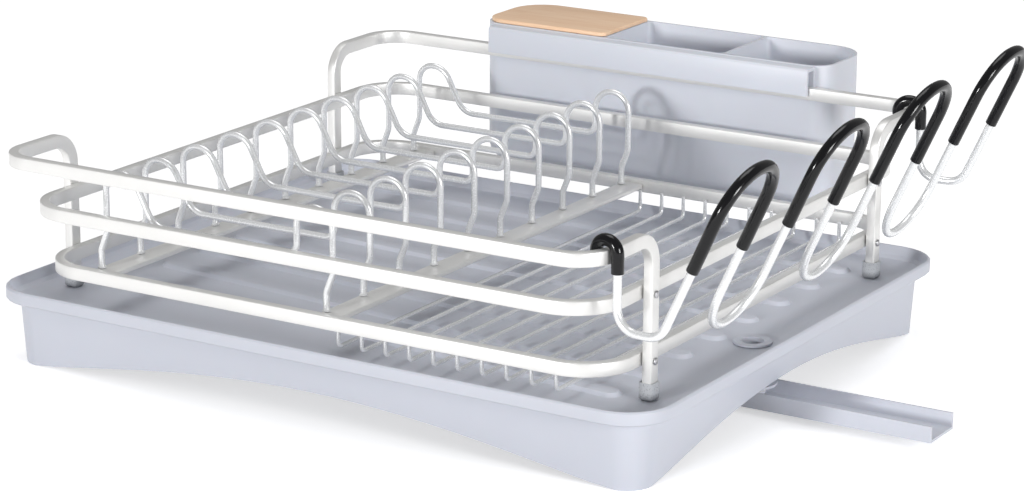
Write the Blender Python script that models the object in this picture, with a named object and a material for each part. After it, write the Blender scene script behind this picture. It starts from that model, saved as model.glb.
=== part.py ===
"""Dish drainer: a bar rack with plate loops and a cup holder, standing in a drip tray.

Sizes are in metres, +Z is up and +X runs along the tray towards the drain spout. Every
length below is one named value. The rest of the file works all places out from these.
"""

import math

import bmesh
import bpy
from mathutils import Matrix, Vector

# Clearances and working values
GAP = 0.0003
CUT_OVERRUN = 0.004
WELD_DISTANCE = 0.00001
SHARP_ANGLE = math.radians(35)
CORNER_STEPS = 6
BEND_STEPS = 5

# Drip tray, which reaches past the rack's posts on every side
TRAY_END_MARGIN = 0.0215
TRAY_SIDE_MARGIN = 0.0457
TRAY_HEIGHT = 0.0440
TRAY_CORNER_RADIUS = 0.0255
FLANGE_HEIGHT = 0.0075
FLANGE_OVERHANG = 0.0078
FLANGE_EDGE = 0.0009
RIM_WIDTH = 0.0020
SKIRT_WALL = 0.0024
SKIRT_LEAN = 0.0024
FLOOR_DEPTH = 0.0073
FLOOR_THICKNESS = 0.0025
INNER_WALL_LEAN = 0.0014
FLOOR_FILLET = 0.0020
FOOT_LENGTH = 0.0125
FOOT_INNER_RADIUS = 0.0400
FRONT_ARCH_HEIGHT = 0.0183
SIDE_ARCH_HEIGHT = 0.0198
ARCH_FULLNESS_SHARE = 1.3
ARCH_POINTS = 24

# Ribs on the tray floor, fanned so that water runs to the drain end
RIB_COUNT = 8
RIB_WIDTH = 0.0145
RIB_HEIGHT = 0.0020
RIB_CROWN = 0.0025
RIB_EMBED = 0.0008
RIB_SIDE_MARGIN = 0.0395
RIB_END_MARGIN = 0.0350
RIB_PITCH_LOSS = 0.0034
RIB_LEFT_SHIFT = 0.0200

# Drain hole, nozzle and swivelling spout
DRAIN_WALL_MARGIN = 0.0210
DRAIN_SIDE_OFFSET = 0.0160
NOZZLE_RADIUS = 0.0077
NOZZLE_WALL = 0.0015
NOZZLE_FLANGE_RADIUS = 0.0105
NOZZLE_FLANGE_HEIGHT = 0.0012
CLIP_GROOVE_DEPTH = 0.0007
CLIP_HEIGHT = 0.0014
CLIP_WIDTH = 0.0032
SPOUT_WIDTH = 0.0275
SPOUT_HEIGHT = 0.0090
SPOUT_WALL = 0.0015
SPOUT_CLEARANCE = 0.0055
SPOUT_LENGTH = 0.1100
COLLAR_WALL = 0.0018
COLLAR_TOP_CLEARANCE = 0.0006

# Rack bars
BAR_SIZE = 0.0060
BAR_EDGE = 0.0012
HOOP_LENGTH = 0.3710
POST_SPACING = 0.2540
HOOP_REACH = 0.0617
HOOP_HEIGHT = 0.0888
HOOP_CORNER_RADIUS = 0.0215
HOOP_BEND_RADIUS = 0.0135
MIDDLE_RING_REACH = 0.0495
MIDDLE_RING_HEIGHT = 0.0582
LOWER_RING_REACH = 0.0383
LOWER_RING_HEIGHT = 0.0235
RING_CORNER_RADIUS = 0.0285

# Foot caps and rivets
CAP_SIZE = 0.0090
CAP_HEIGHT = 0.0095
CAP_BASE = 0.0012
CAP_EDGE = 0.0012
RIVET_RADIUS = 0.0012
RIVET_HEAD_RADIUS = 0.0021
RIVET_HEAD_HEIGHT = 0.0008
RIVET_DEPTH = 0.0030

# Flat cross bars that carry the plate loops
STRIP_WIDTH = 0.0135
STRIP_THICKNESS = 0.0030
STRIP_DROP = 0.0005
STRIP_EDGE = 0.0006
LEFT_STRIP_MARGIN = 0.0419
STRIP_SPACING = 0.1473

# Plate wires
PLATE_WIRE_COUNT = 10
PLATE_END_MARGIN = 0.0060
PLATE_WIRE_DIAMETER = 0.0035
PLATE_TOP_RISE = 0.0546
PLATE_BASE_RISE = 0.0282
PLATE_FOOT_RISE = 0.0100
PLATE_KINK_RISE = 0.0108
PLATE_KINK_STEP = 0.0043
PLATE_FOOT_INSET = 0.0045
PLATE_LEFT_CROWN = 0.0180
PLATE_LEFT_SLOPE = 0.0137
PLATE_RIGHT_SPAN = 0.0226
PLATE_KINK_RADIUS = 0.0080
PLATE_SHOULDER_RADIUS = 0.0098
PLATE_SLOPE_RADIUS = 0.0125
PLATE_BASE_RADIUS = 0.0055
PLATE_CROWN_RADIUS = 0.0112

# Grid wires of the flat side
GRID_WIRE_COUNT = 10
GRID_WIRE_DIAMETER = 0.0022
GRID_HEIGHT = 0.0068
GRID_LEG_TOP_DROP = 0.0005
GRID_CORNER_RADIUS = 0.0030
GRID_FIRST_OFFSET = 0.0060
GRID_LAST_MARGIN = 0.0262

# Cup holder
CUP_WIRE_DIAMETER = 0.0045
SLEEVE_WALL = 0.00065
FINGER_COUNT = 4
FINGER_END_MARGIN = 0.01495
FINGER_WIDTH = 0.0505
FINGER_TOP = 0.1338
FINGER_BOTTOM = 0.0371
FINGER_TOP_REACH = 0.0670
FINGER_BOTTOM_REACH = 0.0231
FINGER_RADIUS = 0.0240
FINGER_SLEEVE_LENGTH = 0.0532
HOOK_ANGLE = math.radians(10)
HOOK_RADIUS = 0.0067
HOOK_SEAT = 0.0024
HOOK_TIP_DROP = 0.0040
HOOK_SLEEVE_DROP = 0.0115
RETURN_HEIGHT = 0.0490
RETURN_RADIUS = 0.0115

# Utensil holder, hung on the back rail
HOLDER_LENGTH = 0.2360
HOLDER_SIDE_OFFSET = 0.0022
HOLDER_DEPTH = 0.0587
HOLDER_HEIGHT = 0.0869
HOLDER_RISE = 0.0117
HOLDER_WALL = 0.0020
HOLDER_STEP = 0.0003
HOLDER_FLOOR = 0.0022
HOLDER_FRONT_RADIUS = 0.0140
HOLDER_BACK_RADIUS = 0.0230
DIVIDER_RADIUS = 0.0040
HOLDER_BOTTOM_RADIUS = 0.0100
LIP_HEIGHT = 0.0160
LIP_LEFT_MARGIN = 0.0108
LIP_RIGHT_MARGIN = 0.0079
LIP_EDGE = 0.0022
LIP_RIB_COUNT = 4
LIP_RIB_WIDTH = 0.0030
LEFT_DIVIDER_PLACE = 0.0855
RIGHT_DIVIDER_PLACE = 0.1675

# Lid over the left compartment
LID_THICKNESS = 0.0022
LID_PLUG_DEPTH = 0.0035
LID_INSET = 0.0014
LID_CLEARANCE = 0.0006
LID_EDGE = 0.0005

# Places that follow from the sizes above
TRAY_LENGTH = HOOP_LENGTH + 2 * TRAY_END_MARGIN
TRAY_WIDTH = POST_SPACING + 2 * TRAY_SIDE_MARGIN
FLOOR_TOP = TRAY_HEIGHT - FLOOR_DEPTH
FLOOR_BOTTOM = FLOOR_TOP - FLOOR_THICKNESS
RACK_BASE = FLOOR_TOP + GAP
SKIRT_TOP = TRAY_HEIGHT - FLANGE_HEIGHT
SKIRT_LENGTH = TRAY_LENGTH - 2 * FLANGE_OVERHANG
SKIRT_WIDTH = TRAY_WIDTH - 2 * FLANGE_OVERHANG
FOOT_PLAN_LENGTH = SKIRT_LENGTH - 2 * SKIRT_LEAN
FOOT_PLAN_WIDTH = SKIRT_WIDTH - 2 * SKIRT_LEAN
INNER_LENGTH = TRAY_LENGTH - 2 * RIM_WIDTH
INNER_WIDTH = TRAY_WIDTH - 2 * RIM_WIDTH
DRAIN_PLACE = Vector((INNER_LENGTH / 2 - INNER_WALL_LEAN - DRAIN_WALL_MARGIN, -DRAIN_SIDE_OFFSET, 0))
SPOUT_PLATE_BOTTOM = SPOUT_CLEARANCE + SPOUT_HEIGHT
NOZZLE_BOTTOM = SPOUT_CLEARANCE + SPOUT_HEIGHT / 2

POST_PLACE = POST_SPACING / 2
RAIL_OUTER = POST_PLACE + HOOP_REACH
RAIL_INNER = RAIL_OUTER - BAR_SIZE
RING_LENGTH = HOOP_LENGTH - 2 * BAR_SIZE - 2 * GAP
MIDDLE_RING_WIDTH = POST_SPACING + 2 * MIDDLE_RING_REACH
LOWER_RING_WIDTH = POST_SPACING + 2 * LOWER_RING_REACH
LOWER_RING_MIDDLE = LOWER_RING_HEIGHT - BAR_SIZE / 2
MIDDLE_RING_MIDDLE = MIDDLE_RING_HEIGHT - BAR_SIZE / 2
STRIP_TOP = LOWER_RING_HEIGHT - STRIP_DROP
STRIP_LENGTH = LOWER_RING_WIDTH - 2 * BAR_SIZE - 2 * GAP
LEFT_STRIP_PLACE = LEFT_STRIP_MARGIN - RING_LENGTH / 2
RIGHT_STRIP_PLACE = LEFT_STRIP_PLACE + STRIP_SPACING
PLATE_FOOT_HEIGHT = STRIP_TOP + GAP
PLATE_WIRE_PITCH = (STRIP_LENGTH - 2 * PLATE_END_MARGIN) / (PLATE_WIRE_COUNT - 1)
FINGER_PITCH = (2 * (RAIL_OUTER - FINGER_END_MARGIN) - FINGER_WIDTH) / (FINGER_COUNT - 1)

LIP_OUTER = RAIL_INNER - GAP - HOLDER_WALL
HOLDER_FRONT = RAIL_OUTER + GAP + HOLDER_STEP
HOLDER_BACK = HOLDER_FRONT + HOLDER_DEPTH
HOLDER_TOP = HOOP_HEIGHT + HOLDER_RISE
HOLDER_BOTTOM = HOLDER_TOP - HOLDER_HEIGHT
LIP_TOP = HOLDER_TOP - HOLDER_STEP
LIP_BOTTOM = LIP_TOP - LIP_HEIGHT

WHOLE_LEFT = -TRAY_LENGTH / 2
WHOLE_RIGHT = DRAIN_PLACE.x + SPOUT_LENGTH
WHOLE_FRONT = -RAIL_OUTER
WHOLE_BACK = HOLDER_BACK


def clear_scene():
    """Removes every object, so that the script starts from nothing."""
    for leftover in list(bpy.data.objects):
        bpy.data.objects.remove(leftover, do_unlink=True)


def make_material(name, colour, roughness, metallic=0.0, alpha=1.0):
    """Makes one Principled material."""
    material = bpy.data.materials.new(name)
    material.use_nodes = True
    shader = material.node_tree.nodes["Principled BSDF"]
    shader.inputs["Base Color"].default_value = (*colour, 1.0)
    shader.inputs["Roughness"].default_value = roughness
    shader.inputs["Metallic"].default_value = metallic
    shader.inputs["Alpha"].default_value = alpha
    material.diffuse_color = (*colour, 1.0)
    return material


def make_empty(name, place, parent=None):
    """Makes an empty that carries a group of parts."""
    empty = bpy.data.objects.new(name, None)
    bpy.context.collection.objects.link(empty)
    empty.parent = parent
    empty.location = place
    return empty


def place_object(item, parent, place, material=None):
    """Links an object under its group's empty and gives it its material."""
    bpy.context.collection.objects.link(item)
    item.parent = parent
    item.location = place
    if material is not None:
        item.data.materials.append(material)
    return item


def finish_mesh(bm, name, parent, place, material=None):
    """Turns a bmesh into a smooth-shaded object with sharp edges kept."""
    bmesh.ops.recalc_face_normals(bm, faces=bm.faces)
    mesh = bpy.data.meshes.new(name)
    bm.to_mesh(mesh)
    bm.free()
    mesh.shade_smooth()
    mesh.set_sharp_from_angle(angle=SHARP_ANGLE)
    return place_object(bpy.data.objects.new(name, mesh), parent, place, material)


def combine(target, tool, operation):
    """Adds a Boolean with a hidden tool object to the target."""
    modifier = target.modifiers.new(tool.name, "BOOLEAN")
    modifier.operation = operation
    modifier.solver = "EXACT"
    modifier.object = tool
    tool.hide_render = True
    tool.display_type = "WIRE"


def rounded_rectangle(length, width, radius, height, steps=CORNER_STEPS):
    """Points of a level rounded rectangle about the origin, counter-clockwise from above."""
    corner = Vector((length / 2, width / 2))
    return cornered_plan(-corner, corner, (radius, radius, radius, radius), height, steps)


def cornered_plan(low, high, radii, height, steps=CORNER_STEPS):
    """Points of a level plan between two corners, with its own radius at each of its corners.

    The radii run counter-clockwise from above, starting at the back right corner.
    """
    places = ((high.x, high.y), (low.x, high.y), (low.x, low.y), (high.x, low.y))
    inward = ((-1, -1), (1, -1), (1, 1), (-1, 1))
    points = []
    for corner, ((x, y), (turn_x, turn_y), radius) in enumerate(zip(places, inward, radii)):
        for step in range(steps + 1):
            angle = math.pi / 2 * (corner + step / steps)
            reach_x = x + turn_x * radius + radius * math.cos(angle)
            reach_y = y + turn_y * radius + radius * math.sin(angle)
            points.append(Vector((reach_x, reach_y, height)))
    return points


def circle_ring(radius, height, sides):
    """Points of a level circle about the origin, counter-clockwise from above."""
    angles = (2 * math.pi * side / sides for side in range(sides))
    return [Vector((radius * math.cos(angle), radius * math.sin(angle), height)) for angle in angles]


def loft(bm, rings, closed=False):
    """Skins a row of equal rings with quads, capped at both ends unless it closes on itself."""
    loops = [[bm.verts.new(point) for point in ring] for ring in rings]
    pairs = list(zip(loops, loops[1:]))
    if closed:
        pairs.append((loops[-1], loops[0]))
    for lower, upper in pairs:
        for index, vertex in enumerate(lower):
            following = (index + 1) % len(lower)
            bm.faces.new((vertex, lower[following], upper[following], upper[index]))
    if not closed:
        bm.faces.new(list(reversed(loops[0])))
        bm.faces.new(loops[-1])


def add_box(bm, low, high):
    """Adds one closed box between two corners."""
    size = high - low
    middle = (high + low) / 2
    matrix = Matrix.Translation(middle) @ Matrix.Diagonal((*size, 1))
    bmesh.ops.create_cube(bm, size=1, matrix=matrix)


def bar_face(bm, centre, across, upward):
    """Draws the bar's square section with its edges broken, as one face."""
    half = BAR_SIZE / 2
    inner = half - BAR_EDGE
    outline = (
        (half, -inner), (half, inner), (inner, half), (-inner, half),
        (-half, inner), (-half, -inner), (-inner, -half), (inner, -half),
    )
    verts = [bm.verts.new(centre + across * side + upward * rise) for side, rise in outline]
    return bm.faces.new(verts)


def run_straight(bm, face, travel):
    """Extrudes the bar's end face along a straight run."""
    made = bmesh.ops.extrude_face_region(bm, geom=[face, *face.verts, *face.edges])["geom"]
    verts = [item for item in made if isinstance(item, bmesh.types.BMVert)]
    bmesh.ops.translate(bm, verts=verts, vec=travel)
    return next(item for item in made if isinstance(item, bmesh.types.BMFace))


def run_bend(bm, face, centre, axis, angle, steps=BEND_STEPS):
    """Spins the bar's end face round a bend."""
    geometry = [face, *face.verts, *face.edges]
    made = bmesh.ops.spin(
        bm, geom=geometry, cent=centre, axis=axis, angle=angle, steps=steps, use_merge=False
    )["geom_last"]
    return next(item for item in made if isinstance(item, bmesh.types.BMFace))


def close_ring(bm, first, last):
    """Joins the bar's two ends where they meet."""
    bmesh.ops.delete(bm, geom=[first, last], context="FACES_ONLY")
    bmesh.ops.remove_doubles(bm, verts=bm.verts, dist=WELD_DISTANCE)


def corner_arc(before, corner, after, radius, steps):
    """Points of the round that takes the place of one corner of a path."""
    inward = (before - corner).normalized()
    outward = (after - corner).normalized()
    half_angle = inward.angle(outward) / 2
    tangent = radius / math.tan(half_angle)
    start = corner + inward * tangent
    finish = corner + outward * tangent
    middle = corner + (inward + outward).normalized() * (radius / math.sin(half_angle))
    first = start - middle
    last = finish - middle
    turn = first.angle(last)
    points = []
    for step in range(steps + 1):
        share = step / steps
        weight_first = math.sin((1 - share) * turn) / math.sin(turn)
        weight_last = math.sin(share * turn) / math.sin(turn)
        points.append(middle + first * weight_first + last * weight_last)
    return points


def rounded_path(corners):
    """Turns (corner, radius, steps) stations into the points of a bent wire."""
    points = [corners[0][0]]
    for previous, station, following in zip(corners, corners[1:], corners[2:]):
        corner, radius, steps = station
        points.extend(corner_arc(previous[0], corner, following[0], radius, steps))
    points.append(corners[-1][0])
    return points


def wire_curve(name, points, radius, capped=True):
    """A round wire along a list of points, as a bevelled curve."""
    curve = bpy.data.curves.new(name, "CURVE")
    curve.dimensions = "3D"
    curve.bevel_depth = radius
    curve.bevel_resolution = 1
    curve.use_fill_caps = capped
    spline = curve.splines.new("POLY")
    spline.points.add(len(points) - 1)
    for place, point in zip(spline.points, points):
        place.co = (*point, 1)
    return bpy.data.objects.new(name, curve)


def build_tray(parent, material):
    """The moulded tray: skirt with arched edges, flange, sunk floor, ribs and drain hole."""
    radius = TRAY_CORNER_RADIUS
    skirt_radius = radius - FLANGE_OVERHANG
    foot_radius = skirt_radius - SKIRT_LEAN
    cavity_length = FOOT_PLAN_LENGTH - 2 * SKIRT_WALL
    cavity_width = FOOT_PLAN_WIDTH - 2 * SKIRT_WALL
    inner_radius = radius - RIM_WIDTH
    wall_length = INNER_LENGTH - 2 * INNER_WALL_LEAN
    wall_width = INNER_WIDTH - 2 * INNER_WALL_LEAN
    wall_radius = inner_radius - INNER_WALL_LEAN
    floor_length = wall_length - 2 * FLOOR_FILLET
    floor_width = wall_width - 2 * FLOOR_FILLET
    floor_radius = wall_radius - FLOOR_FILLET
    edge = FLANGE_EDGE
    eased_length = TRAY_LENGTH - 2 * edge
    eased_width = TRAY_WIDTH - 2 * edge
    eased_radius = radius - edge
    rings = [
        rounded_rectangle(cavity_length, cavity_width, FOOT_INNER_RADIUS, FLOOR_BOTTOM),
        rounded_rectangle(cavity_length, cavity_width, FOOT_INNER_RADIUS, 0),
        rounded_rectangle(FOOT_PLAN_LENGTH, FOOT_PLAN_WIDTH, foot_radius, 0),
        rounded_rectangle(SKIRT_LENGTH, SKIRT_WIDTH, skirt_radius, SKIRT_TOP),
        rounded_rectangle(eased_length, eased_width, eased_radius, SKIRT_TOP),
        rounded_rectangle(TRAY_LENGTH, TRAY_WIDTH, radius, SKIRT_TOP + edge),
        rounded_rectangle(TRAY_LENGTH, TRAY_WIDTH, radius, TRAY_HEIGHT - edge),
        rounded_rectangle(eased_length, eased_width, eased_radius, TRAY_HEIGHT),
        rounded_rectangle(INNER_LENGTH, INNER_WIDTH, inner_radius, TRAY_HEIGHT),
        rounded_rectangle(wall_length, wall_width, wall_radius, FLOOR_TOP + FLOOR_FILLET),
        rounded_rectangle(floor_length, floor_width, floor_radius, FLOOR_TOP),
    ]
    bm = bmesh.new()
    loft(bm, rings)
    tray = finish_mesh(bm, "drip_tray", parent, (0, 0, 0), material)
    combine(tray, build_ribs(parent), "UNION")
    front_half = FOOT_PLAN_LENGTH / 2 - FOOT_LENGTH
    side_half = FOOT_PLAN_WIDTH / 2 - FOOT_LENGTH
    front_arch = build_arch("front_arch", parent, front_half, FRONT_ARCH_HEIGHT, TRAY_WIDTH)
    side_arch = build_arch("side_arch", parent, side_half, SIDE_ARCH_HEIGHT, TRAY_LENGTH)
    side_arch.rotation_euler.z = math.pi / 2
    combine(tray, front_arch, "DIFFERENCE")
    combine(tray, side_arch, "DIFFERENCE")
    bm = bmesh.new()
    low = FLOOR_BOTTOM - CUT_OVERRUN
    high = FLOOR_TOP + CUT_OVERRUN
    hole_radius = NOZZLE_RADIUS + GAP
    loft(bm, [circle_ring(hole_radius, low, 16), circle_ring(hole_radius, high, 16)])
    combine(tray, finish_mesh(bm, "drain_hole", parent, DRAIN_PLACE), "DIFFERENCE")
    return tray


def build_arch(name, parent, half_span, height, depth):
    """A cutter for the arched lower edge: its profile spans X and is drawn through along Y."""
    bm = bmesh.new()
    profile = [Vector((half_span, 0, -CUT_OVERRUN)), Vector((half_span, 0, 0))]
    for index in range(1, ARCH_POINTS):
        share = 1 - 2 * index / ARCH_POINTS
        rise = height * (1 - share * share) ** ARCH_FULLNESS_SHARE
        profile.append(Vector((share * half_span, 0, rise)))
    profile.append(Vector((-half_span, 0, 0)))
    profile.append(Vector((-half_span, 0, -CUT_OVERRUN)))
    front = Vector((0, -depth / 2 - CUT_OVERRUN, 0))
    loft(bm, [[point + front for point in profile], [point - front for point in profile]])
    return finish_mesh(bm, name, parent, (0, 0, 0))


def build_ribs(parent):
    """The floor's raised ribs as one tool: slugs with round ends and eased crowns."""
    end = INNER_LENGTH / 2 - INNER_WALL_LEAN - RIB_END_MARGIN
    pitch = (INNER_WIDTH - 2 * INNER_WALL_LEAN - 2 * RIB_SIDE_MARGIN) / (RIB_COUNT - 1)
    low = FLOOR_TOP - RIB_EMBED
    high = FLOOR_TOP + RIB_HEIGHT
    bm = bmesh.new()
    for index in range(RIB_COUNT):
        order = index - (RIB_COUNT - 1) / 2
        right = Vector((end, order * pitch, 0))
        left = Vector((-end, order * (pitch - RIB_PITCH_LOSS) + RIB_LEFT_SHIFT, 0))
        run = right - left
        length = run.length
        crown_length = length - 2 * RIB_CROWN
        crown_width = RIB_WIDTH - 2 * RIB_CROWN
        lower = rounded_rectangle(length, RIB_WIDTH, RIB_WIDTH / 2, low, 4)
        upper = rounded_rectangle(crown_length, crown_width, crown_width / 2, high, 4)
        turn = Matrix.Rotation(math.atan2(run.y, run.x), 4, "Z")
        matrix = Matrix.Translation((left + right) / 2) @ turn
        loft(bm, [[matrix @ point for point in ring] for ring in (weld_ring(lower), weld_ring(upper))])
    return finish_mesh(bm, "floor_ribs", parent, (0, 0, 0))


def weld_ring(ring):
    """Drops the points of a ring that fall on the one before them."""
    kept = []
    for point in ring:
        if not kept or (point - kept[-1]).length > WELD_DISTANCE:
            kept.append(point)
    if (kept[0] - kept[-1]).length <= WELD_DISTANCE:
        kept.pop()
    return kept


def build_nozzle(parent, material):
    """The drain nozzle: a flanged tube through the floor with a groove for its clip."""
    inner = NOZZLE_RADIUS - NOZZLE_WALL
    flange_low = FLOOR_TOP + GAP
    flange_high = flange_low + NOZZLE_FLANGE_HEIGHT
    groove_high = SPOUT_PLATE_BOTTOM - GAP
    groove_low = groove_high - CLIP_HEIGHT - 2 * GAP
    groove = NOZZLE_RADIUS - CLIP_GROOVE_DEPTH
    profile = (
        (inner, flange_high), (inner, NOZZLE_BOTTOM), (NOZZLE_RADIUS, NOZZLE_BOTTOM),
        (NOZZLE_RADIUS, groove_low), (groove, groove_low), (groove, groove_high),
        (NOZZLE_RADIUS, groove_high), (NOZZLE_RADIUS, flange_low),
        (NOZZLE_FLANGE_RADIUS, flange_low), (NOZZLE_FLANGE_RADIUS, flange_high),
    )
    bm = bmesh.new()
    loft(bm, [circle_ring(radius, height, 16) for radius, height in profile], closed=True)
    return finish_mesh(bm, "drain_nozzle", parent, (0, 0, 0), material)


def build_clip(parent, material):
    """The open ring in the nozzle's groove, which holds the spout up."""
    inner = NOZZLE_RADIUS - CLIP_GROOVE_DEPTH + GAP
    outer = inner + CLIP_WIDTH
    high = SPOUT_PLATE_BOTTOM - 2 * GAP
    low = high - CLIP_HEIGHT
    opening = math.radians(40)
    steps = 12
    rings = []
    for step in range(steps + 1):
        angle = opening / 2 + (2 * math.pi - opening) * step / steps
        ray = Vector((math.cos(angle), math.sin(angle), 0))
        corners = ((inner, low), (outer, low), (outer, high), (inner, high))
        rings.append([ray * radius + Vector((0, 0, height)) for radius, height in corners])
    bm = bmesh.new()
    loft(bm, rings)
    return finish_mesh(bm, "spout_clip", parent, (0, 0, 0), material)


def spout_outline(half_width, length, height):
    """The spout's plan: a half round about the pivot and a straight run to its open end."""
    points = [Vector((length, -half_width, height)), Vector((length, half_width, height))]
    steps = 8
    for step in range(steps + 1):
        angle = math.pi / 2 + math.pi * step / steps
        points.append(Vector((half_width * math.cos(angle), half_width * math.sin(angle), height)))
    return points


def build_spout(parent, material):
    """The open channel, with a covered round end and the collar that turns on the nozzle."""
    half = SPOUT_WIDTH / 2
    low = SPOUT_CLEARANCE
    high = SPOUT_PLATE_BOTTOM
    bm = bmesh.new()
    loft(bm, [spout_outline(half, SPOUT_LENGTH, low), spout_outline(half, SPOUT_LENGTH, high)])
    spout = finish_mesh(bm, "drain_spout", parent, (0, 0, 0), material)

    bm = bmesh.new()
    plate_high = high + SPOUT_WALL
    collar_outer = NOZZLE_RADIUS + GAP + COLLAR_WALL
    collar_high = FLOOR_BOTTOM - COLLAR_TOP_CLEARANCE
    cover = (
        (half, high - SPOUT_WALL / 2), (half, plate_high), (collar_outer, plate_high),
        (collar_outer, collar_high),
    )
    loft(bm, [circle_ring(radius, height, 16) for radius, height in cover])
    combine(spout, finish_mesh(bm, "spout_cover", parent, (0, 0, 0)), "UNION")

    bm = bmesh.new()
    inner = half - SPOUT_WALL
    run = SPOUT_LENGTH + CUT_OVERRUN
    floor = low + SPOUT_WALL
    loft(bm, [spout_outline(inner, run, floor), spout_outline(inner, run, high)])
    combine(spout, finish_mesh(bm, "spout_trough", parent, (0, 0, 0)), "DIFFERENCE")

    bm = bmesh.new()
    open_low = Vector((half, -inner, floor))
    open_high = Vector((run, inner, plate_high + CUT_OVERRUN))
    add_box(bm, open_low, open_high)
    combine(spout, finish_mesh(bm, "spout_mouth", parent, (0, 0, 0)), "DIFFERENCE")

    bm = bmesh.new()
    bore = NOZZLE_RADIUS + GAP
    top = collar_high + CUT_OVERRUN
    loft(bm, [circle_ring(bore, high - SPOUT_WALL, 16), circle_ring(bore, top, 16)])
    combine(spout, finish_mesh(bm, "collar_bore", parent, (0, 0, 0)), "DIFFERENCE")
    return spout


def build_ring(name, parent, width, middle_height, material):
    """One closed bar ring, bent round four corners."""
    half = BAR_SIZE / 2
    centre_radius = RING_CORNER_RADIUS - half
    run_x = RING_LENGTH - 2 * RING_CORNER_RADIUS
    run_y = width - 2 * RING_CORNER_RADIUS
    start = Vector((-run_x / 2, -width / 2 + half, 0))
    bm = bmesh.new()
    first = bar_face(bm, start, Vector((0, 1, 0)), Vector((0, 0, 1)))
    face = run_straight(bm, first, Vector((run_x, 0, 0)))
    sides = (
        (Vector((run_x / 2, -run_y / 2, 0)), Vector((0, run_y, 0))),
        (Vector((run_x / 2, run_y / 2, 0)), Vector((-run_x, 0, 0))),
        (Vector((-run_x / 2, run_y / 2, 0)), Vector((0, -run_y, 0))),
    )
    for centre, travel in sides:
        face = run_bend(bm, face, centre, Vector((0, 0, 1)), math.pi / 2)
        face = run_straight(bm, face, travel)
    last_centre = Vector((-run_x / 2, -run_y / 2, 0))
    face = run_bend(bm, face, last_centre, Vector((0, 0, 1)), math.pi / 2)
    close_ring(bm, first, face)
    ring = finish_mesh(bm, name, parent, (0, 0, middle_height), material)
    combine(ring, build_rivet_holes(name + "_holes", parent, middle_height), "DIFFERENCE")
    return ring


def build_rivet_holes(name, parent, *heights):
    """Holes through the posts into the rings, at both ends and both pairs of posts."""
    deep = HOOP_LENGTH / 2 - BAR_SIZE - GAP - RIVET_DEPTH - GAP
    outer = HOOP_LENGTH / 2 + CUT_OVERRUN
    turn = Matrix.Rotation(math.pi / 2, 4, "Y")
    bm = bmesh.new()
    for height in heights:
        for side in (-1, 1):
            for row in (-1, 1):
                place = Vector((0, row * POST_PLACE, height))
                ring = circle_ring(RIVET_RADIUS + GAP, 0, 8)
                near = [place + turn @ point + Vector((side * deep, 0, 0)) for point in ring]
                far = [place + turn @ point + Vector((side * outer, 0, 0)) for point in ring]
                loft(bm, [near, far])
    return finish_mesh(bm, name, parent, (0, 0, 0))


def build_hoop(name, parent, direction, material):
    """A hoop: post, bend, side, corner, rail, and the same again to the other post."""
    half = BAR_SIZE / 2
    post_x = HOOP_LENGTH / 2 - half
    foot = CAP_BASE + GAP
    bend_radius = HOOP_BEND_RADIUS - half
    corner_radius = HOOP_CORNER_RADIUS - half
    top = HOOP_HEIGHT - half
    bend_y = POST_PLACE + bend_radius
    corner_y = RAIL_OUTER - half - corner_radius
    post_run = Vector((0, 0, top - bend_radius - foot))
    side_run = Vector((0, direction * (corner_y - bend_y), 0))
    rail_run = Vector((-2 * (post_x - corner_radius), 0, 0))
    bm = bmesh.new()
    start = Vector((post_x, direction * POST_PLACE, foot))
    face = bar_face(bm, start, Vector((1, 0, 0)), Vector((0, 1, 0)))
    face = run_straight(bm, face, post_run)
    right_bend = Vector((0, direction * bend_y, top - bend_radius))
    bend_axis = Vector((-direction, 0, 0))
    corner_axis = Vector((0, 0, direction))
    face = run_bend(bm, face, right_bend, bend_axis, math.pi / 2)
    face = run_straight(bm, face, side_run)
    right_corner = Vector((post_x - corner_radius, direction * corner_y, top))
    face = run_bend(bm, face, right_corner, corner_axis, math.pi / 2)
    face = run_straight(bm, face, rail_run)
    left_corner = Vector((-post_x + corner_radius, direction * corner_y, top))
    face = run_bend(bm, face, left_corner, corner_axis, math.pi / 2)
    face = run_straight(bm, face, -side_run)
    left_bend = Vector((0, direction * bend_y, top - bend_radius))
    face = run_bend(bm, face, left_bend, -bend_axis, math.pi / 2)
    run_straight(bm, face, -post_run)
    hoop = finish_mesh(bm, name, parent, (0, 0, 0), material)
    holes = build_rivet_holes(name + "_holes", parent, LOWER_RING_MIDDLE, MIDDLE_RING_MIDDLE)
    combine(hoop, holes, "DIFFERENCE")
    return hoop


def build_rivet(name, parent, side, row, height, material):
    """A rivet with a low head on the post's outer face and a shank into the ring."""
    shank = BAR_SIZE + GAP + RIVET_DEPTH
    profile = (
        (RIVET_RADIUS, -shank), (RIVET_RADIUS, GAP), (RIVET_HEAD_RADIUS, GAP),
        (RIVET_HEAD_RADIUS, GAP + RIVET_HEAD_HEIGHT / 2), (RIVET_RADIUS, GAP + RIVET_HEAD_HEIGHT),
    )
    bm = bmesh.new()
    loft(bm, [circle_ring(radius, height_along, 8) for radius, height_along in profile])
    place = (side * HOOP_LENGTH / 2, row * POST_PLACE, height)
    rivet = finish_mesh(bm, name, parent, place, material)
    rivet.rotation_euler.y = side * math.pi / 2
    return rivet


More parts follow.
